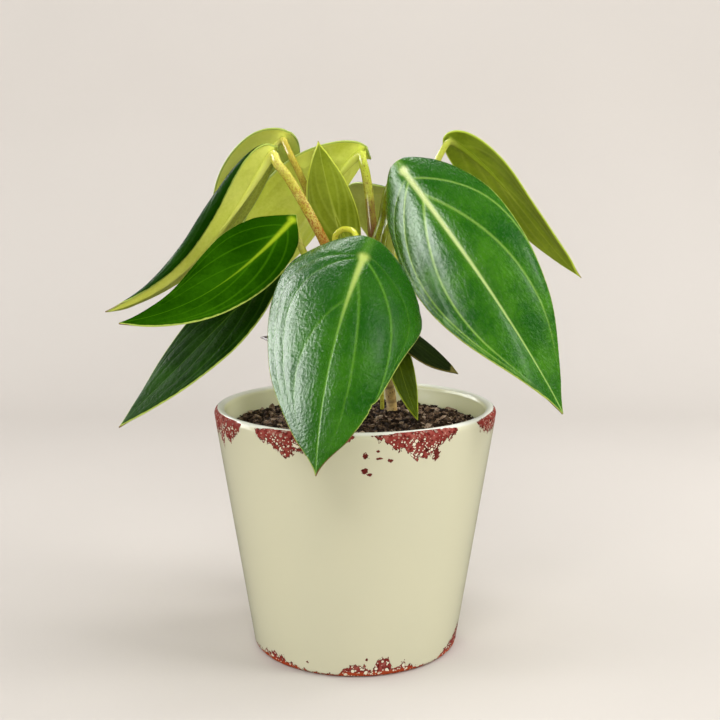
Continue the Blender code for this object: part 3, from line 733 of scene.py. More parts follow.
# Veins as (start, rise, spread, half width in mm, strength): negative spreads run in the left half
frontVeins = [(0.10, 0.11, -0.95, 0.40, 0.35), (0.12, 0.36, -1.20, 0.55, 1.00), (0.21, 0.80, -0.90, 0.52, 0.90),
              (0.13, 0.10, 0.72, 0.42, 0.45), (0.115, 0.05, 0.86, 0.40, 0.30), (0.33, 0.42, 0.95, 0.50, 0.60)]
rightVeins = [(0.085, 0.11, -1.00, 0.50, 0.7), (0.15, 0.35, -0.95, 0.55, 0.7), (0.075, 0.05, 0.92, 0.40, 0.45),
              (0.085, 0.12, 0.88, 0.48, 0.9), (0.17, 0.28, 0.88, 0.52, 1.0)]
plainVeins = [(0.05, 0.10, -0.86, 0.42, 0.8), (0.12, 0.30, -0.90, 0.45, 1.0), (0.30, 0.45, -0.80, 0.35, 0.8),
              (0.05, 0.10, 0.86, 0.42, 0.8), (0.12, 0.30, 0.90, 0.45, 1.0), (0.30, 0.45, 0.80, 0.35, 0.8)]

leaves = {
    "front": leaf(
        (0.004, -0.055, 0.198), 0.105, 0.076, (-108, -114, -108), (-34, -59, -83), (-26, -18, -14),
        leafLook(deep=(0.006, 0.070, 0.000), fresh=(0.030, 0.135, 0.002), vein=(0.10, 0.26, 0.015),
                 midrib=(0.40, 0.50, 0.10), midWidth=(2.0, 0.5), midEnd=0.45, tipStart=0.984, burntEdge=0.8,
                 veinShare=0.6),
        veins=frontVeins, nicks=((0.715, -1, 0.007, 1.0), (0.735, -1, 0.012, 0.7)), tipPoint=(0.87, 0.72),
        heel=0.014, fold=(-2, -4, 3), curl=(-61, -43, -10), shareLeft=(1.50, 0.92, 1.30),
        shareRight=(1.14, 1.03, 0.97), roundness=0.42, taper=0.95, drip=0.28),
    "right": leaf(
        (0.023, -0.010, 0.236), 0.140, 0.062, (-51, -26, 0), (-41, -53, -63), (50, 52, 51),
        leafLook(deep=(0.006, 0.078, 0.000), fresh=(0.052, 0.195, 0.004), vein=(0.26, 0.44, 0.07),
                 midrib=(0.60, 0.68, 0.28), midWidth=(1.75, 0.5), midEnd=1.0, veinShare=0.75, coat=0.24),
        veins=rightVeins, heel=0.007, foldLeft=(-3, 7, 1), foldRight=(-10, -1, 30), curlLeft=(-53, -26, -10),
        curlRight=(-57, -37, 3), shareLeft=(1.00, 1.05, 1.22), roundness=0.47, drip=0.28),
    "rightBack": leaf(
        (0.048, 0.021, 0.252), 0.099, 0.031, (9, 4, 6), (-30, -50, -43), (-46, -42, -41),
        leafLook(under=(0.13, 0.19, 0.004), underLight=(0.22, 0.30, 0.012), edge=(0.42, 0.52, 0.04)),
        heel=0.004, foldLeft=(10, 6, 18), foldRight=(10, -14, -5), curlLeft=(-20, -12, 7),
        curlRight=(-19, -30, -7), roundness=0.53, taper=0.95, tipPoint=(0.84, 0.70)),
    "left": leaf(
        (-0.030, -0.009, 0.213), 0.105, 0.044, (-117, -144, -178), (-28, -29, -6), (-36, -28, -19),
        leafLook(deep=(0.006, 0.038, 0.000), fresh=(0.020, 0.085, 0.001), vein=(0.05, 0.16, 0.003), veinShare=0.45,
                 midrib=(0.30, 0.40, 0.015), midWidth=(1.8, 0.3), midEnd=0.6, shine=0.0, coat=0.0, rough=0.50),
        heel=0.0042, heelPoint=(0.12, 0.70), tipPoint=(0.90, 0.3), foldLeft=(-1, 3, 6), foldRight=(-3, 5, 5),
        curlLeft=(-46, -38, -9), curlRight=(-31, -35, -10), shareLeft=(0.70, 0.70, 1.10),
        shareRight=(1.10, 1.20, 1.00), roundness=0.60),
    # painted shade: all of this leaf's colours are darkened for the shade it hangs in under the left leaf
    "leftLow": leaf(
        (-0.037, 0.000, 0.190), 0.115, 0.035, (-125, -139, -156), (-28, -37, -43), (0, -13, -23),
        leafLook(deep=(0.004, 0.022, 0.000), fresh=(0.014, 0.055, 0.002), vein=(0.03, 0.09, 0.005), veinShare=0.45,
                 midrib=(0.06, 0.12, 0.01), midWidth=(1.0, 0.3), rough=0.40, coat=0.0, shine=0.02),
        heel=0.007, fold=(4, 6, 4), curl=(-26, -17, -6), shareLeft=(0.20, 1.10, 1.20),
        shareRight=(1.00, 1.12, 0.80)),
    # painted light and shade: the underside is painted bright yellow-green for light shining through the leaf, and its
    # right half is painted darker for shade
    "leftHigh": leaf(
        (-0.041, -0.003, 0.245), 0.117, 0.031, (155, 179, 198), (-55, -47, -12), (18, 36, 48),
        leafLook(under=(0.64, 0.70, 0.09), underLight=(0.78, 0.82, 0.17), deep=(0.004, 0.026, 0.000),
                 fresh=(0.010, 0.050, 0.001), vein=(0.03, 0.09, 0.003), veinShare=0.1, midrib=(0.03, 0.09, 0.003),
                 midWidth=(1.2, 0.3), shine=0.01, coat=0.0, darkHalf=0.85),
        heel=0.004, foldLeft=(36, 10, 5), foldRight=(38, 23, 34), curlLeft=(-25, -10, -10),
        curlRight=(-4, 4, 16), lipLeft=(-60, -170, -40), lipRight=(-30, -30, 0),
        shareLeft=(1.00, 1.62, 1.00), roundness=0.40, taper=0.88, wave=0.0, lipStart=0.52),
    # painted light: the underside is painted bright for light shining through the leaf
    "backLeft": leaf(
        (-0.036, 0.014, 0.253), 0.096, 0.0445, (136, 118, 105), (-32, -52, -72), (23, 10, 3),
        leafLook(under=(0.78, 0.84, 0.11), underLight=(0.86, 0.90, 0.20)),
        heel=0.005, foldLeft=(15, 2, 5), foldRight=(21, 4, 5), curlLeft=(-26, -24, 0),
        curlRight=(-10, -14, 0), shareLeft=(1.00, 0.90, 1.00), shareRight=(0.90, 1.00, 1.00),
        roundness=0.55, earRight=-40, earLength=0.04),
    # painted light: the underside is painted bright for light shining through the leaf
    "back": leaf(
        (0.001, 0.021, 0.246), 0.102, 0.0595, (158, 151, 143), (-45, -48, -41), (28, 14, 9),
        leafLook(under=(0.60, 0.69, 0.06), underLight=(0.75, 0.82, 0.13)),
        heel=0.005, foldLeft=(16, 26, 7), foldRight=(28, 19, 2), curlLeft=(-27, -3, 1),
        curlRight=(4, -1, -2), shareRight=(0.90, 1.00, 1.00), roundness=0.56, taper=0.78,
        earRight=-240, earLength=0.045),
    "backRight": leaf(
        (0.020, 0.058, 0.226), 0.084, 0.050, (78, 76, 75), (-15, -49, -83), (6, 3, -1),
        leafLook(under=(0.30, 0.35, 0.035), underLight=(0.40, 0.45, 0.07)),
        foldLeft=(16, 8, 6), foldRight=(14, 10, 5), curl=(-12, -10, 0), shareLeft=(1.28, 1.20, 1.00),
        shareRight=(0.84, 0.84, 1.00), roundness=0.45),
    "inner": leaf(
        (-0.0015, 0.006, 0.1915), 0.062, 0.025, (-188, -187, -186), (67, 74, 82), (114, 110, 106),
        leafLook(under=(0.12, 0.16, 0.003), underLight=(0.19, 0.24, 0.010), edge=(0.50, 0.56, 0.05),
                 deep=(0.03, 0.12, 0.01), fresh=(0.06, 0.18, 0.02)),
        heel=0.0, foldLeft=(19, 13, 12), foldRight=(12, 20, 8), curl=(3, 3, 0), roundness=0.60,
        drip=0.30, wave=0.1),
    # painted shade: all of this leaf's colours are darkened, nearly black, for the shade it lies in under the front
    # and right leaves
    "lowRight": leaf(
        (0.016, 0.002, 0.162), 0.047, 0.026, (22, 16, 10), (-36, -36, -37), (30, 33, 35),
        leafLook(deep=(0.003, 0.007, 0.000), fresh=(0.008, 0.016, 0.001), vein=(0.02, 0.035, 0.003), veinShare=0.3,
                 midrib=(0.03, 0.04, 0.005), midWidth=(0.6, 0.2), edge=(0.12, 0.10, 0.02), tipStart=0.88,
                 rough=0.5, coat=0.0, shine=0.08, tip=(0.10, 0.085, 0.02)),
        heel=0.004, foldLeft=(2, 2, 0), foldRight=(4, 9, 3), curl=(-21, -20, -12), roundness=0.51,
        drip=0.24, wave=0.1),
    "lowHang": leaf(
        (0.0185, 0.0044, 0.1532), 0.043, 0.0145, (-50, -44, -39), (-69, -66, -63), (20, 24, 28),
        leafLook(under=(0.045, 0.070, 0.001), underLight=(0.08, 0.12, 0.003), deep=(0.030, 0.055, 0.000),
                 fresh=(0.07, 0.11, 0.001), vein=(0.12, 0.18, 0.01), veinShare=0.15, midrib=(0.14, 0.19, 0.01),
                 midWidth=(0.4, 0.2), edge=(0.35, 0.42, 0.03), rough=0.4, coat=0.0, shine=0.12),
        heel=0.004, foldLeft=(20, 8, 21), foldRight=(20, 21, 22), curl=(0, -4, 0), wave=0.0),
    "lowLeft": leaf(
        (-0.013, 0.023, 0.159), 0.051, 0.022, (133, 142, 150), (-22, -13, -4), (-32, -26, -20),
        leafLook(deep=(0.006, 0.03, 0.002), fresh=(0.014, 0.06, 0.004), tip=(0.06, 0.025, 0.012), tipStart=0.80),
        heel=0.005, fold=(4, 3, 0), curl=(-20, -20, -4), wave=0.1),
}


def nodeOf(name):
    # rightBack is right_back in the CAD
    return "".join("_" + letter.lower() if letter.isupper() else letter for letter in name)


def titled(kind, name):
    return kind + name[0].upper() + name[1:]


def leafSpan(settings):
    # length of the whole midrib, and the share of it at which the stalk is attached
    whole = settings["length"] + settings["heel"]
    return whole, settings["heel"] / whole


def leafVeins(settings):
    return settings["veins"] or [(vein[0] + leafSpan(settings)[1], *vein[1:]) for vein in plainVeins]


def shareAfter(x, start):
    return np.clip((x - start) / (1 - start), 0.0, 1.0)


def midribLine(settings, samples=400):
    # stations along the midrib with their places, upward directions and rightward directions
    whole, start = leafSpan(settings)
    s = np.linspace(0.0, 1.0, samples + 1)
    heading, pitch, roll = (np.radians(baseMidTip(settings[key], shareAfter(s, start)))
                            for key in ("heading", "pitch", "roll"))
    ahead, aside = np.cos(heading), np.sin(heading)
    along = np.stack([np.cos(pitch) * ahead, np.cos(pitch) * aside, np.sin(pitch)], axis=1)
    level = np.stack([-np.sin(pitch) * ahead, -np.sin(pitch) * aside, np.cos(pitch)], axis=1)
    upper = np.cos(roll)[:, None] * level + np.sin(roll)[:, None] * np.cross(along, level)
    steps = 0.5 * (along[1:] + along[:-1]) * whole / samples
    points = np.vstack([np.zeros(3), np.cumsum(steps, axis=0)])
    points += np.array(settings["attach"]) - interpolated(start, s, points)
    return s, points, upper, np.cross(along, upper)


def halfWidth(settings, s):
    a, b = settings["roundness"], settings["taper"]
    peak = a / (a + b)
    outline = s ** a * (1 - s) ** b / (peak ** a * (1 - peak) ** b)
    (tipFrom, tipShare), (heelTo, heelShare) = settings["tipPoint"], settings["heelPoint"]
    drawn = 1 - settings["drip"] * shareAfter(s, bladeSettings["pointStart"]) ** 2
    drawn = drawn * (1 - tipShare * shareAfter(s, tipFrom) ** 1.5)
    drawn = drawn * (1 - heelShare * np.clip(1 - s / heelTo, 0.0, 1.0) ** 1.5)
    return 0.5 * settings["width"] * outline * drawn


def bladeSide(settings, side, s, half):
    # one half seen end on: how far each point lies out from the midrib and above it, and the half's reach
    b, name = bladeSettings, "Left" if side < 0 else "Right"
    fold, curl, lip = (np.radians(baseMidTip(settings[key + name], s))[:, None] for key in ("fold", "curl", "lip"))
    reach = halfWidth(settings, s) * baseMidTip(settings["share" + name], s)
    for at, nickSide, length, deep in settings["nicks"]:
        if nickSide == side:
            reach = reach - deep * mm * np.exp(-((s - at) / length) ** 2)
    steps = half * b["turnSteps"]
    q = np.linspace(0.0, 1.0, steps + 1)[None, :]
    ear = math.radians(settings["ear" + name]) * np.exp(-(s / settings["earLength"]) ** 2)[:, None]
    slope = fold + curl * q + lip * shareAfter(q, settings["lipStart"]) + ear * shareAfter(q, b["earStart"])
    slope = slope * np.clip(reach / (b["flatBelow"] * mm), 0.0, 1.0)[:, None]
    slope = slope * (1 - np.exp(-q * reach[:, None] / (b["crease"] * mm)))
    pick = np.arange(1, half + 1) * b["turnSteps"] - 1
    level, rise = (np.cumsum((wave(slope[:, 1:]) + wave(slope[:, :-1])) / 2, axis=1)[:, pick] / steps * reach[:, None]
                   for wave in (np.cos, np.sin))
    return level, rise, reach


def bladeGrid(settings):
    # middle surface of a blade, rows from heel to tip, columns from the left to the right margin
    b = bladeSettings
    rows = int(leafSpan(settings)[0] / mm / b["cell"]) + 8
    half = max(6, int(settings["width"] / mm / b["cell"] / 2) + 1)
    v = np.linspace(0.0, 1.0, rows + 1)
    v = 0.35 * v + 0.65 * (1 - np.cos(math.pi * v)) / 2  # closer rows at both ends
    s = b["firstRow"] + (b["lastRow"] - b["firstRow"]) * v
    stations, *lines = midribLine(settings)
    centre, up, out = (interpolated(s, stations, line) for line in lines)
    up, out = sized(up), sized(out)
    sides, reaches = [], []
    for side in (-1, 1):
        level, rise, reach = bladeSide(settings, side, s, half)
        sides.append(centre[:, None] + side * out[:, None] * level[:, :, None] + up[:, None] * rise[:, :, None])
        reaches.append(reach[:, None])
    grid = np.concatenate([sides[0][:, ::-1], centre[:, None], sides[1]], axis=1)
    t = np.linspace(-1.0, 1.0, 2 * half + 1)[None, :]
    reach = np.where(t < 0, *reaches)
    reach[:, half] = sum(reaches)[:, 0] / 2
    return grid, np.broadcast_to(s[:, None], reach.shape), np.broadcast_to(t, reach.shape), reach


def gridNormals(grid):
    normal = np.cross(np.gradient(grid, axis=1), np.gradient(grid, axis=0))
    return normal / np.maximum(np.linalg.norm(normal, axis=2, keepdims=True), 1e-12)


def borderOf(index):
    return np.concatenate([index[0, :-1], index[:-1, -1], index[-1, :0:-1], index[:0:-1, 0]])


def veinLine(s, t, reach, whole, vein, width):
    # the same curve as in the curvedVein group
    start, rise, spread = vein[:3]
    fall = np.exp(-np.clip(s - start, 0.0, None) / rise)
    slope = spread / rise * fall
    distance = np.abs(t - spread * (1 - fall)) * reach / np.sqrt(1 + (slope * reach / whole) ** 2)
    return np.exp(-(distance / width) ** 2) * smoothstep(s, start, start + 0.03) * smoothstep(s, 0.97, 0.65)


def withRelief(name, settings, grid, s, t, reach):
    # waves along the margins, sunken veins and midrib, and a dent where the stalk is attached
    b, (whole, start) = bladeSettings, leafSpan(settings)
    phase = s * whole / (b["waveLength"] * mm) + np.where(t < 0, 0.0, 1.9) + len(name)
    wave = settings["wave"] * np.abs(t) ** 3 * smoothstep(s, 0.0, 0.15) * smoothstep(s, 1.0, 0.85)
    wave = wave * (np.sin(phase) + 0.5 * np.sin(2.3 * phase + 1.0))
    rib = np.exp(-(np.abs(t) * reach / (b["midWidth"] * mm)) ** 2)
    rib = rib * smoothstep(s, 1.0, 0.6) * smoothstep(s, start - 0.03, start + 0.02)
    lines = np.maximum.reduce([veinLine(s, t, reach, whole, vein, b["veinWidth"] * mm)
                               for vein in leafVeins(settings)])
    dent = np.exp(-(((s - start) * whole) ** 2 + (t * reach) ** 2) / (b["dentWidth"] * mm) ** 2)
    sink = b["midSink"] * rib + b["veinSink"] * lines * (1 - rib) + b["dentSink"] * dent
    sink = sink * min(1.0, settings["width"] / (b["fullRelief"] * mm))
    return grid + gridNormals(grid) * ((wave - sink) * mm)[:, :, None]


def leafMasks(tree, settings, face, midEnd, upper):
    # the curved veins and the midrib, with what they are drawn from
    look, (whole, start) = settings["look"], leafSpan(settings)
    s, t, reach, edge = attributesOf(tree, "station", "across", "reach", "edge")
    shared = dict(Station=s, Across=t, Reach=reach, Length=whole / mm)
    veins = 0.0
    for begin, rise, spread, halfWide, strength in leafVeins(settings):
        line = useGroup(veinGroup, **shared, Start=begin, Rise=rise, Spread=spread,
                        HalfWidth=halfWide * face["veinGrowth"], FadeEnd=0.95)["Mask"]
        veins = most(times(line, strength) if upper else line, veins)
    wide = ramp(s, start, midEnd, look["midWidth"][0] / face["midShrink"], look["midWidth"][1], "LINEAR")
    rib = useGroup(veinGroup, **shared, Start=start - 0.02, Rise=0.2, Spread=0.0, HalfWidth=wide, FadeEnd=1.25)["Mask"]
    return s, t, reach, edge, veins, rib


def brownMasks(look, s, t, tone, **own):
    inputs = dict(Ragged=0.03, TipStart=look["tipStart"], TipEnd=look["tipStart"] + 0.02)
    inputs.update(own)
    return useGroup(brownGroup, Station=s, Across=t, Tone=tone, BurntEdge=look["burntEdge"], **inputs)


def makeUpperMaterial(name, settings):
    look, face, (whole, start) = settings["look"], faceLooks["upper"], leafSpan(settings)
    material, tree, shader = newMaterial(name + "Upper", IOR=1.47, Coat_Roughness=0.20, Coat_Weight=look["coat"],
                                         Specular_IOR_Level=look["shine"])
    spot = places(tree)
    s, t, reach, edge, veins, rib = leafMasks(tree, settings, face, look["midEnd"], True)
    ahead, aside = times(minus(s, start), whole / mm), times(t, reach)
    fromMidrib = calc("ABSOLUTE", aside)
    tone = useGroup(cloudGroup, Vector=spot, **face["clouds"])["Tone"]
    brown = brownMasks(look, s, t, tone)
    bright = times(ramp(tone, -0.28, 0.3), ramp(s, 0.12, 0.6, 0.45, 1.0))
    halo = times(ramp(fromMidrib, look["midWidth"][0] * 1.8, 0.0, 0.0, 0.45), ramp(s, 0.7, start))
    ribTone = mixColour(ramp(s, start, look["midEnd"] + 0.1), look["midrib"], look["vein"])
    heart = ramp(lengthOf(ahead, aside), look["midWidth"][0] * 2.1, 0.0)
    border = ramp(timesPlus(noiseAt(spot, 300.0), 0.7, edge), look["edgeWidth"] + 0.55, look["edgeWidth"] + 0.15)
    colour = layered(
        look["deep"],
        (bright, look["fresh"]),
        (ramp(fromMidrib, 9.0, 0.0, 0.0, 0.28), look["fresh"]),
        (halo, look["vein"]),
        (times(veins, look["veinShare"]), look["vein"]),
        (times(rib, 0.92), ribTone),
        (heart, look["midrib"]),  # the pale spot over the stalk
        (border, mixColour(brown["Burnt"], look["edge"], look["tip"])),
        (brown["Tip"], look["tip"]))
    streak = vectorOf(times(ahead, 0.45), aside)
    lines = noiseAt(streak, 0.8, 3.0, 0.6)
    pebble = useGroup(grainGroup, Vector=spot, **face["grain"])["Height"]
    wrinkle = cellsAt(streak, 0.75, feature="SMOOTH_F1")["Distance"]
    height = timesPlus(wrinkle, 0.25, timesPlus(lines, 0.6, times(pebble, 1.25)))
    addBump(shader, timesPlus(most(veins, rib), -0.3, height), **face["bump"])
    dull = ramp(lines, 0.3, 0.75, look["rough"] - 0.04, look["rough"] + 0.08)
    setShader(shader, Base_Color=colour, Roughness=mixValue(times(rib, 0.5), dull, 0.5))
    return material


def makeUnderMaterial(name, settings):
    look, face, start = settings["look"], faceLooks["under"], leafSpan(settings)[1]
    material, tree, shader = newMaterial(name + "Under", IOR=1.45, Coat_Roughness=0.3, Specular_IOR_Level=0.25)
    spot = places(tree)
    s, t, _, edge, veins, rib = leafMasks(tree, settings, face, 0.85, False)
    tone = useGroup(cloudGroup, Vector=spot, **face["clouds"])["Tone"]
    net = cellsAt(spot, 420.0, feature="DISTANCE_TO_EDGE")["Distance"]
    colour = layered(
        look["under"],
        (ramp(tone, -0.25, 0.28), look["underLight"]),
        # painted shade: the right half of the underside is darkened towards a shade colour, for the half that faces
        # away from the light
        (ramp(t, 0.02, 0.22, 0.0, look["darkHalf"]), look["darkTone"]),
        (ramp(net, 0.16, 0.02, 0.0, 0.14), look["underLight"]),
        (times(veins, 0.10), look["underRib"]),
        (times(rib, ramp(s, 0.6, start, 0.15, 0.7)), look["underRib"]),
        (ramp(edge, look["edgeWidth"] + 0.6, look["edgeWidth"]), look["edge"]),
        (brownMasks(look, s, t, tone)["Tip"], look["tip"]))
    pebble = useGroup(grainGroup, Vector=spot, **face["grain"])["Height"]
    addBump(shader, timesPlus(most(times(veins, 0.3), rib), 0.5, pebble), **face["bump"])
    dull = ramp(tone, -0.3, 0.3, look["underRough"], look["underRough"] + 0.12)
    setShader(shader, Base_Color=colour, Roughness=dull)
    return material


def makeMarginMaterial(name, settings):
    look, face = settings["look"], faceLooks["margin"]
    material, tree, shader = newMaterial(name + "Margin", IOR=1.45, Roughness=0.4)
    tone = useGroup(cloudGroup, Vector=places(tree), **face["clouds"])["Tone"]
    s, t = attributesOf(tree, "station", "across")
    pale = tuple(min(1.0, c * face["paler"]) for c in look["edge"])
    brown = brownMasks(look, s, t, tone, Ragged=0.2, TipStart=look["tipStart"] - 0.06, TipEnd=look["tipStart"])
    setShader(shader, Base_Color=layered(
        look["edge"], (ramp(tone, -0.25, 0.3), pale), (most(brown["Tip"], brown["Burnt"]), look["tip"])))
    return material


def makeBlade(name, settings):
    b = bladeSettings
    grid, s, t, reach = bladeGrid(settings)
    grid = withRelief(name, settings, grid, s, t, reach)
    rows, columns = grid.shape[:2]
    flat, flatNormal = grid.reshape(-1, 3), gridNormals(grid).reshape(-1, 3)
    count = len(flat)
    index = np.arange(count).reshape(rows, columns)
    ring = borderOf(index)
    margin = flat[ring]

    # thinner towards the margin, which is rounded by one more line of points round it
    squares = (flat ** 2).sum(1)[:, None] + (margin ** 2).sum(1)[None] - 2 * flat @ margin.T
    edge = np.sqrt(np.maximum(squares.min(axis=1), 0.0)) / mm
    bow = np.clip(edge / b["edgeRound"], 0.0, 1.0)
    thick = b["thick"] * mm * (b["thinEdge"] + (1 - b["thinEdge"]) * np.sqrt(1 - (1 - bow) ** 2))
    offset = flatNormal * thick[:, None] / 2
    fromRow = ring // columns
    fromRow = np.where(fromRow == 0, 2, np.where(fromRow == rows - 1, rows - 3, fromRow))
    outward = margin - grid[fromRow, columns // 2]
    outward /= np.maximum(np.linalg.norm(outward, axis=1), 1e-9)[:, None]
    verts = np.vstack([flat + offset, flat - offset, margin + outward * b["rimPush"] * mm])

    corners = index[:-1, :-1], index[:-1, 1:], index[1:, 1:], index[1:, :-1]
    top = np.stack([corner.ravel() for corner in corners], axis=1)
    bottom = top[:, [0, 3, 2, 1]] + count
    rim = 2 * count + np.arange(len(ring))
    nextRing, nextRim = np.roll(ring, -1), np.roll(rim, -1)
    high = np.stack([nextRing, ring, rim, nextRim], axis=1)
    low = np.stack([ring + count, nextRing + count, nextRim, rim], axis=1)
    slots = np.repeat([0, 1, 2], [len(top), len(bottom), len(high) + len(low)])
    values = dict(station=s.ravel(), across=t.ravel(), reach=reach.ravel() / mm, edge=edge)
    attributes = {key: np.concatenate([value, value, value[ring]]) for key, value in values.items()}
    label = titled("blade", name)
    materials = [make(label, settings) for make in (makeUpperMaterial, makeUnderMaterial, makeMarginMaterial)]
    piece = addPiece(label, verts, np.vstack([top, bottom, high, low]).tolist(), materials, slots, attributes)
    seat(piece, "young_blade" if name in ("inner", "lowHang") else "blade", "leaf_" + nodeOf(name))
    return BVHTree.FromPolygons([Vector(p) for p in flat], top.tolist())


bladeTrees = {name: makeBlade(name, settings) for name, settings in leaves.items()}
print("stage: leaves made", len(bladeTrees))


# Stems and stalks, in metres. A stalk leaves the main stem at its height and heading, and its route leads to the leaf.
# It swells by flare at its foot. Where it meets a stem, knee is how far out it bends, topKnee where the stem ends.
stemSettings = dict(
    mainRoute=[(0.0190, 0.0220, 0.1140), (0.0178, 0.0210, 0.1240), (0.0140, 0.0190, 0.1380),
               (0.0090, 0.0160, 0.1540), (0.0050, 0.0135, 0.1680), (0.0025, 0.0120, 0.1820)],
    mainRadius=(0.0029, 0.0024),
    sideRoute=[(0.0140, 0.0270, 0.1140), (0.0138, 0.0270, 0.1260), (0.0140, 0.0250, 0.1390),
               (0.0148, 0.0200, 0.1490), (0.0156, 0.0130, 0.1530)],
    sideRadius=(0.0011, 0.0010), sink=0.024, sides=20, shootSides=14, step=0.0012, shootPoints=90,
    ribShares=(0.0, 0.05, 0.11, 0.19, 0.29, 0.42), oldScars=(0.119, 0.1265, 0.133), scarWide=0.0007, scarSink=0.0002,
    nodeScarWide=0.0006, nodeScarBelow=0.0026, nodeSwell=0.0003, nodeRun=0.0028, barkUneven=0.05, barkGrain=0.0035,
    stalkUneven=0.06, stalkGrain=0.006, flare=0.28, flareRun=0.004, knee=0.0020, topKnee=0.0016, topInside=0.001,
    pressFrom=0.008, shootPressFrom=0.004, pressReach=0.003, pressSkin=0.0002, jointFrom=0.007, jointTo=0.006)
stalkSettings = {
    "front": dict(look="bright", height=0.1710, heading=-118, radius=(0.0016, 0.0012), route=[
        (-0.0020, -0.0010, 0.1840), (-0.0080, -0.0085, 0.1965), (-0.0095, -0.0130, 0.2046),
        (-0.0061, -0.0195, 0.2086), (-0.0013, -0.0275, 0.2085), (0.0008, -0.0330, 0.2055),
        (0.0016, -0.0385, 0.2003), (0.0022, -0.0445, 0.1959), (0.0026, -0.0493, 0.1935)]),
    "right": dict(look="olive", height=0.1680, heading=-25, radius=(0.0022, 0.0017), route=[
        (0.0094, 0.0098, 0.1880), (0.0098, 0.0100, 0.2009), (0.0132, 0.0090, 0.2127),
        (0.0142, 0.0080, 0.2196), (0.0156, 0.0060, 0.2260), (0.0182, 0.0040, 0.2308),
        (0.0222, -0.0026, 0.2326)]),
    "rightBack": dict(look="plain", height=0.1620, heading=15, radius=(0.0022, 0.0016), route=[
        (0.0170, 0.0150, 0.1860), (0.0248, 0.0150, 0.2071), (0.0348, 0.0160, 0.2293),
        (0.0430, 0.0170, 0.2455)]),
    "left": dict(look="plain", height=0.1620, heading=-140, radius=(0.0021, 0.0016), route=[
        (-0.0080, 0.0060, 0.1700), (-0.0170, 0.0045, 0.1820), (-0.0256, 0.0020, 0.1974),
        (-0.0274, -0.0010, 0.2029), (-0.0287, -0.0030, 0.2073)]),
    "leftLow": dict(look="olive", height=0.1530, heading=-165, radius=(0.0021, 0.0016), route=[
        (-0.0080, 0.0120, 0.1600), (-0.0200, 0.0090, 0.1700), (-0.0310, 0.0045, 0.1815)]),
    "leftHigh": dict(look="yellow", height=0.1760, heading=190, radius=(0.0027, 0.0023), route=[
        (-0.0050, 0.0078, 0.1810), (-0.0088, 0.0040, 0.1880), (-0.0167, 0.0010, 0.2052),
        (-0.0234, -0.0005, 0.2178), (-0.0299, -0.0030, 0.2293), (-0.0336, -0.0050, 0.2350),
        (-0.0372, -0.0070, 0.2397)]),
    "backLeft": dict(look="red", height=0.1680, heading=125, radius=(0.0022, 0.0016), route=[
        (-0.0060, 0.0185, 0.1860), (-0.0120, 0.0190, 0.1960), (-0.0178, 0.0190, 0.2059),
        (-0.0208, 0.0185, 0.2159), (-0.0232, 0.0175, 0.2234), (-0.0254, 0.0140, 0.2298),
        (-0.0281, 0.0090, 0.2366), (-0.0308, 0.0055, 0.2423), (-0.0339, 0.0090, 0.2487)]),
    "back": dict(look="mixed", height=0.1790, heading=50, radius=(0.0028, 0.0022), route=[
        (0.0096, 0.0156, 0.1930), (0.0089, 0.0150, 0.2046), (0.0079, 0.0160, 0.2145),
        (0.0069, 0.0170, 0.2244), (0.0054, 0.0170, 0.2343), (0.0039, 0.0170, 0.2402)]),
    "backRight": dict(look="olive", height=0.1560, heading=75, radius=(0.0021, 0.0015), route=[
        (0.0110, 0.0210, 0.1750), (0.0147, 0.0280, 0.2010), (0.0169, 0.0380, 0.2103),
        (0.0190, 0.0480, 0.2180)]),
    "lowRight": dict(look="plain", height=0.1490, heading=-75, radius=(0.0013, 0.0010), route=[
        (0.0123, 0.0110, 0.1505), (0.0120, 0.0070, 0.1535), (0.0118, 0.0042, 0.1568)]),
    "lowLeft": dict(look="plain", height=0.1400, heading=160, radius=(0.0012, 0.0010), route=[
        (0.0040, 0.0220, 0.1440), (-0.0060, 0.0225, 0.1490), (-0.0110, 0.0228, 0.1540)]),
    "inner": dict(look="plain", radius=(0.0016, 0.0011), route=[(0.0008, 0.0094, 0.1868)]),
}
stalkLooks = dict(
    plain=dict(green=(0.44, 0.50, 0.04), light=(0.64, 0.64, 0.14), fleck=(0.22, 0.035, 0.008), flecks=0.25,
               blush=0.15, coat=0.4),
    yellow=dict(green=(0.56, 0.52, 0.04), light=(0.74, 0.70, 0.15), fleck=(0.28, 0.032, 0.006), flecks=1.0,
                blush=0.75, coat=0.6),
    bright=dict(green=(0.52, 0.54, 0.02), light=(0.68, 0.66, 0.06), fleck=(0.34, 0.050, 0.010), flecks=0.10,
                blush=0.0, coat=0.4),
    olive=dict(green=(0.12, 0.16, 0.004), light=(0.20, 0.25, 0.012), fleck=(0.06, 0.018, 0.005), flecks=0.50,
               blush=0.25, coat=0.05),
    red=dict(green=(0.46, 0.38, 0.03), light=(0.58, 0.50, 0.07), fleck=(0.26, 0.030, 0.006), flecks=1.0,
             blush=0.45, coat=0.4),
    mixed=dict(green=(0.42, 0.50, 0.03), light=(0.60, 0.64, 0.08), fleck=(0.10, 0.022, 0.008), flecks=0.55,
               blush=0.95, coat=0.3))
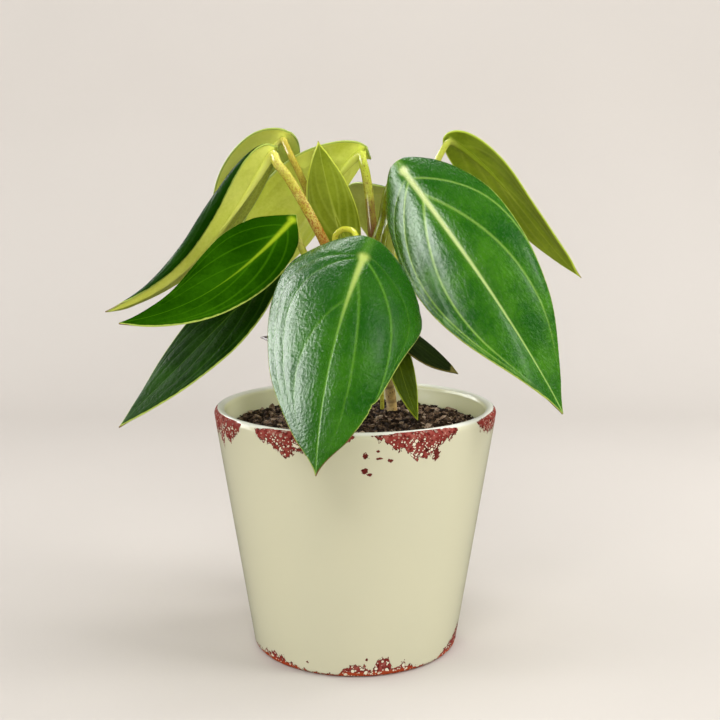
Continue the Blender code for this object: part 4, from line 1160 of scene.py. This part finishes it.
# Flecks are laid on the stalk as if unrolled: wrapRun and wrapRadius scale them along and around
stalkSkin = dict(
    rough=0.22, coatRough=0.10, wrapRun=0.0007, wrapRadius=0.0022, clouds=dict(Broad=120.0, Fine=900.0, FineShare=0.3),
    bigFlecks=dict(Cell=1350.0, Size=0.56, Soft=0.12), smallFlecks=dict(Cell=2300.0, Size=0.55, Soft=0.15),
    bigShare=0.9, smallShare=0.75, fleckShare=0.85, blushBand=(92.0, 44.0), bump=dict(strength=0.25, distance=0.0003))
barkLook = dict(
    tan=(0.44, 0.25, 0.07), pale=(0.72, 0.52, 0.21), fleck=(0.13, 0.045, 0.018), scar=(0.16, 0.07, 0.025),
    young=(0.30, 0.32, 0.05), youngBand=(50.0, 80.0), rough=(0.45, 0.7), upright=(1.0, 1.0, 0.6),
    clouds=dict(Broad=190.0, Fine=900.0, FineShare=0.5), flecks=dict(Cell=900.0, Share=0.6, Size=0.42, Soft=0.15),
    grain=dict(Scale=1100.0, Coarse=0.5), bump=dict(strength=0.5, distance=0.0005))


def makeStalkMaterial(name, look, leafSide):
    # leafSide is the colour of the midrib's underside, which the stalk runs into
    skin = stalkSkin
    material, tree, shader = newMaterial(name, IOR=1.47, Roughness=skin["rough"], Coat_Weight=look["coat"],
                                         Coat_Roughness=skin["coatRough"])
    spot = places(tree)
    along, around, onLeaf = attributesOf(tree, "run", "around", "onLeaf")
    wrap = vectorOf(times(along, skin["wrapRun"]), times(calc("SINE", around), skin["wrapRadius"]),
                    times(calc("COSINE", around), skin["wrapRadius"]))
    tone = useGroup(cloudGroup, Vector=spot, **skin["clouds"])["Tone"]
    big, small = (useGroup(fleckGroup, Vector=wrap, Share=look["flecks"], **skin[key])["Mask"]
                  for key in ("bigFlecks", "smallFlecks"))
    specks = most(times(big, skin["bigShare"]), times(small, skin["smallShare"]))
    specks = times(specks, ramp(along, 90.0, 35.0, 0.45, 1.0), skin["fleckShare"])
    blush = ramp(timesPlus(noiseAt(spot, 130.0), 36.0, along), *skin["blushBand"], 0.0, look["blush"])
    setShader(shader, Base_Color=layered(
        look["green"], (ramp(tone, -0.25, 0.25), look["light"]), (blush, look["fleck"]), (specks, look["fleck"]),
        (onLeaf, leafSide)))
    addBump(shader, noiseAt(wrap, 1500.0), **skin["bump"])
    return material


def makeBark():
    look = barkLook
    material, tree, shader = newMaterial("stemBark", IOR=1.45)
    spot = places(tree)
    scar, along = attributesOf(tree, "scar", "run")
    tone = useGroup(cloudGroup, Vector=spot, **look["clouds"])["Tone"]
    specks = useGroup(fleckGroup, Vector=stretched(spot, look["upright"]), **look["flecks"])["Mask"]
    colour = layered(
        look["tan"], (ramp(tone, -0.25, 0.2), look["pale"]), (times(specks, 0.8), look["fleck"]),
        (times(scar, 0.7), look["scar"]), (times(ramp(along, *look["youngBand"]), 0.7), look["young"]))
    setShader(shader, Base_Color=colour, Roughness=ramp(tone, -0.3, 0.3, *look["rough"]))
    addBump(shader, useGroup(grainGroup, Vector=spot, **look["grain"])["Height"], **look["bump"])
    return material


def tubeRings(points, radii, sides):
    # rings square to the run, turned along without twist
    ahead = sized(np.gradient(points, axis=0))
    side = np.cross(ahead[0], (0.0, 0.0, 1.0) if abs(ahead[0][2]) < 0.9 else (1.0, 0.0, 0.0))
    rings, turns = [], turnsRound(sides)[:, None]
    for point, way, radius in zip(points, ahead, radii):
        side = sized(side - way * (side @ way))
        rings.append(point + radius * (np.cos(turns) * side + np.sin(turns) * np.cross(way, side)))
    return np.array(rings)


def roughened(rings, amount, size, seed=0.0):
    middle = rings.mean(axis=1, keepdims=True)
    bumps = noiseOf(rings.reshape(-1, 3), size, seed).reshape(*rings.shape[:2], 1)
    return middle + (rings - middle) * (1 + amount * bumps)


def addTube(name, rings, material, **extra):
    count, sides = rings.shape[:2]
    centre = rings.mean(axis=1)
    run = runAlong(centre) / mm
    verts = np.vstack([rings.reshape(-1, 3), centre[:1], centre[-1:]])
    faces, first = [], count * sides
    for i in range(0, first - sides, sides):
        for k in range(sides):
            j = (k + 1) % sides
            faces.append((i + k, i + j, i + sides + j, i + sides + k))
    for k in range(sides):
        j = (k + 1) % sides
        faces += [(first, j, k), (first + 1, first - sides + k, first - sides + j)]
    attributes = dict(around=np.concatenate([np.tile(turnsRound(sides), count), [0.0, 0.0]]))
    for key, values in dict(run=run, **extra).items():
        attributes[key] = np.concatenate([np.repeat(values, sides), values[:1], values[-1:]])
    return addPiece(name, verts, faces, [material], attributes=attributes)


def pressUnder(rings, tree, attach, near):
    # the end of a stalk spreads against the underside of its blade and never comes through it
    past, skin = False, stemSettings["pressSkin"]
    for ring in rings:
        past = past or np.linalg.norm(ring.mean(axis=0) - np.array(attach)) < near
        if not past:
            continue
        for k in range(len(ring)):
            place, normal, _, distance = tree.find_nearest(Vector(ring[k]))
            height = (Vector(ring[k]) - place).dot(normal)
            if distance < stemSettings["pressReach"] and height > -skin:
                ring[k] = np.array(place - normal * skin)
    return rings


def underRib(settings, tree, radius):
    # the stalk's way on under the blade as its swollen midrib: points, and the radius at each
    stations, line, _, _ = midribLine(settings)
    start, shares = leafSpan(settings)[1], stemSettings["ribShares"]
    points, radii = [], []
    for share in shares:
        place, normal, _, _ = tree.find_nearest(Vector(interpolated(start + share * (1 - start), stations, line)))
        size = radius * (1 - share / shares[-1]) ** 0.8 * 0.9 + 0.0002
        depth = 0.0006 + size * (0.85 if share == 0.0 else 0.25) - 0.0004 * share / shares[-1]
        points.append(np.array(place - normal * depth))
        radii.append(size)
    return points, radii


def runOn(route, radius, rib, count):
    # one smooth run through the stalk's points and on under the midrib, with its radius
    whole = np.array([*route, *rib[0]])
    run = runAlong(whole)
    count = count or int(run[-1] / stemSettings["step"])
    at = np.linspace(0.0, run[-1], count)
    return smoothRoute(whole, count), np.interp(at, run, [*np.linspace(*radius, len(route)), *rib[1]]), at


def onLeafShare(rings, attach):
    # 0 on the free stalk, 1 where it has become the leaf's midrib
    centre = rings.mean(axis=1)
    run = runAlong(centre)
    joint = run[np.linalg.norm(centre - np.array(attach), axis=1).argmin()]
    return smoothstep(run, joint - stemSettings["jointFrom"], joint + stemSettings["jointTo"])


def addStalk(name, skinName, node, leafName, route, radius, look, sides, near, count=0, flare=0.0, uneven=0.0):
    settings, tree = leaves[leafName], bladeTrees[leafName]
    points, radii, at = runOn(route, radius, underRib(settings, tree, radius[1]), count)
    radii = radii * (1 + flare * np.exp(-(at / stemSettings["flareRun"]) ** 2))
    rings = roughened(tubeRings(points, radii, sides), uneven, stemSettings["stalkGrain"], seed=3.0)
    rings = pressUnder(rings, tree, settings["attach"], near)
    skin = makeStalkMaterial(skinName, stalkLooks[look], settings["look"]["underLight"])
    seat(addTube(name, rings, skin, onLeaf=onLeafShare(rings, settings["attach"])), "stalk", node)


def rooted(route):
    # two more points, straight down into the soil
    x, y, z = route[0]
    return [(x, y, z - stemSettings["sink"]), (x, y, z - stemSettings["sink"] / 2)] + route


def makeMainStem():
    g = stemSettings
    route = rooted(g["mainRoute"])
    fine = smoothRoute(route, 110)
    z, heights = fine[:, 2], [stalk["height"] for stalk in stalkSettings.values() if "height" in stalk]
    radius = np.linspace(*g["mainRadius"], len(fine))
    radius = radius + sum(g["nodeSwell"] * np.exp(-((z - height) / g["nodeRun"]) ** 2) for height in heights)
    bands = [(height - g["nodeScarBelow"], g["nodeScarWide"]) for height in heights]
    bands += [(height, g["scarWide"]) for height in g["oldScars"]]
    scar = np.maximum.reduce([np.exp(-((z - height) / wide) ** 2) for height, wide in bands])
    rings = tubeRings(fine, radius - g["scarSink"] * scar, g["sides"])
    rings = roughened(rings, g["barkUneven"], g["barkGrain"])
    seat(addTube("stemMain", rings, makeBark(), scar=scar), "bark", "stem_main")
    return smoothRoute(route, 26)


def makeShoot():
    g = stemSettings
    addStalk("stemSide", "shootSkin", "stem_side", "lowHang", rooted(g["sideRoute"]), g["sideRadius"], "plain",
             g["shootSides"], g["shootPressFrom"], count=g["shootPoints"])


def stalkStart(stem, stalk):
    # a point inside the stem and the knee where the stalk bends out of it
    g = stemSettings
    if "height" not in stalk:  # the young leaf goes on from the stem's end
        way = sized(stem[-1] - stem[-2])
        return [stem[-1] - way * g["topInside"], stem[-1] + way * g["topKnee"]]
    heading, height = math.radians(stalk["heading"]), stalk["height"]
    inside, above = (np.array([*(np.interp(z, stem[:, 2], stem[:, k]) for k in (0, 1)), z])
                     for z in (height, height + 0.002))
    lean = sized(above - inside)
    outward = np.array([math.cos(heading), math.sin(heading), 0.0])
    outward = sized(outward - lean * (outward @ lean))
    radius = np.interp(height, [stem[0, 2], stem[-1, 2]], g["mainRadius"])
    return [inside, inside + outward * (radius + g["knee"])]


def makeStalks(stem):
    g = stemSettings
    for name, stalk in stalkSettings.items():
        label = titled("stalk", name)
        addStalk(label, label + "Skin", "petiole_" + nodeOf(name), name, stalkStart(stem, stalk) + stalk["route"],
                 stalk["radius"], stalk["look"], g["sides"], g["pressFrom"], flare=g["flare"], uneven=g["stalkUneven"])


mainStem = makeMainStem()
makeShoot()
makeStalks(mainStem)
print("stage: stems and stalks made")


# Floor and light, in metres. Soft lamps light the surfaces, shine lamps are what glossy surfaces mirror.
stageSettings = dict(floor=(0.56, 0.525, 0.49), halfWidth=1.6, front=-1.2, wallStart=0.55, wallRadius=0.35,
                     wallHeight=1.9, rough=0.55)
lightSettings = [
    dict(name="leftWindow", kind="soft", place=(-1.05, -0.04, 0.60), aim=(0.0, 0.0, 0.18), size=(1.30, 0.70),
         power=8.5, colour=(1.0, 1.0, 0.99)),
    dict(name="rightFill", kind="soft", place=(0.95, -0.35, 0.72), aim=(0.0, 0.0, 0.14), size=(0.40, 0.70),
         power=7.4, colour=(1.0, 1.0, 0.99)),
    dict(name="backRight", kind="soft", place=(0.95, 0.35, 0.50), aim=(0.0, 0.0, 0.12), size=(0.40, 0.40),
         power=3.5, colour=(1.0, 1.0, 0.98)),
    dict(name="frontTop", kind="soft", place=(-0.25, -1.00, 1.05), aim=(0.0, 0.0, 0.18), size=(0.60, 0.40),
         power=6.5, colour=(1.0, 0.995, 0.98)),
    dict(name="frontFill", kind="soft", place=(0.15, -1.75, 0.50), aim=(0.0, 0.0, 0.10), size=(1.20, 0.70),
         power=11.0, colour=(1.0, 0.995, 0.98)),
    dict(name="wallWash", kind="soft", place=(0.0, -0.10, 1.60), aim=(0.0, 0.85, 0.55), size=(1.40, 0.30),
         power=6.0, colour=(1.0, 0.99, 0.98)),
    dict(name="topSoft", kind="soft", place=(0.25, 0.05, 1.15), aim=(0.0, 0.0, 0.10), size=(0.70, 0.70),
         power=3.5, colour=(1.0, 1.0, 0.99)),
    dict(name="leftShine", kind="shine", place=(-0.98, 0.24, 0.54), aim=(0.0, 0.0, 0.17), size=(1.95, 0.70),
         power=45.0, colour=(1.0, 1.0, 1.0)),
    dict(name="cornerShine", kind="shine", place=(-0.89, -0.65, 0.56), aim=(0.0, 0.0, 0.17), size=(0.55, 0.60),
         power=10.5, colour=(1.0, 1.0, 1.0)),
    dict(name="topShine", kind="shine", place=(-0.15, 0.55, 1.05), aim=(0.0, 0.0, 0.18), size=(0.45, 0.22),
         power=3.5, colour=(1.0, 1.0, 1.0)),
    dict(name="rightShine", kind="shine", place=(0.87, -0.30, 0.74), aim=(0.0, 0.0, 0.19), size=(0.20, 0.20),
         power=1.1, colour=(1.0, 1.0, 1.0)),
]
worldSettings = dict(colour=(1.0, 1.0, 1.0), strength=0.10)


def makeFloor():
    g, arcSteps = stageSettings, 12
    profile = [(g["front"], 0.0), (g["wallStart"], 0.0)]
    for i in range(1, arcSteps + 1):
        a = math.radians(90 * i / arcSteps)
        profile.append((g["wallStart"] + g["wallRadius"] * math.sin(a), g["wallRadius"] * (1 - math.cos(a))))
    profile.append((g["wallStart"] + g["wallRadius"], g["wallHeight"]))
    verts = [(x, y, z) for y, z in profile for x in (-g["halfWidth"], g["halfWidth"])]
    faces = [(2 * i, 2 * i + 1, 2 * i + 3, 2 * i + 2) for i in range(len(profile) - 1)]
    material, tree, shader = newMaterial("studioPaper", Roughness=g["rough"], Specular_IOR_Level=0.0)
    tone = useGroup(cloudGroup, Vector=places(tree), Broad=3.0, Fine=500.0, FineShare=0.2)["Tone"]
    pale = tuple(c * 1.04 for c in g["floor"])
    setShader(shader, Base_Color=mixColour(ramp(tone, -0.3, 0.3), g["floor"], pale))
    floor = addPiece("studioSweep", verts, faces, [material])
    floor.visible_glossy = False


def makeLights():
    for light in lightSettings:
        data = bpy.data.lights.new(light["name"], "AREA")
        data.shape = "RECTANGLE"
        data.size, data.size_y = light["size"]
        data.energy = light["power"]
        data.color = light["colour"]
        lamp = bpy.data.objects.new(light["name"], data)
        lamp.location = light["place"]
        lamp.visible_glossy = light["kind"] == "shine"
        lamp.visible_diffuse = light["kind"] == "soft"
        way = Vector(light["aim"]) - Vector(light["place"])
        lamp.rotation_euler = way.to_track_quat("-Z", "Y").to_euler()
        bpy.context.scene.collection.objects.link(lamp)
    world = bpy.data.worlds.new("softRoom")
    bpy.context.scene.world = world
    world.use_nodes = True
    air = world.node_tree.nodes["Background"]
    air.inputs[0].default_value = (*worldSettings["colour"], 1.0)
    air.inputs[1].default_value = worldSettings["strength"]
    bpy.context.scene.view_settings.view_transform = "Standard"


makeFloor()
makeLights()
print("stage: floor and lights set")
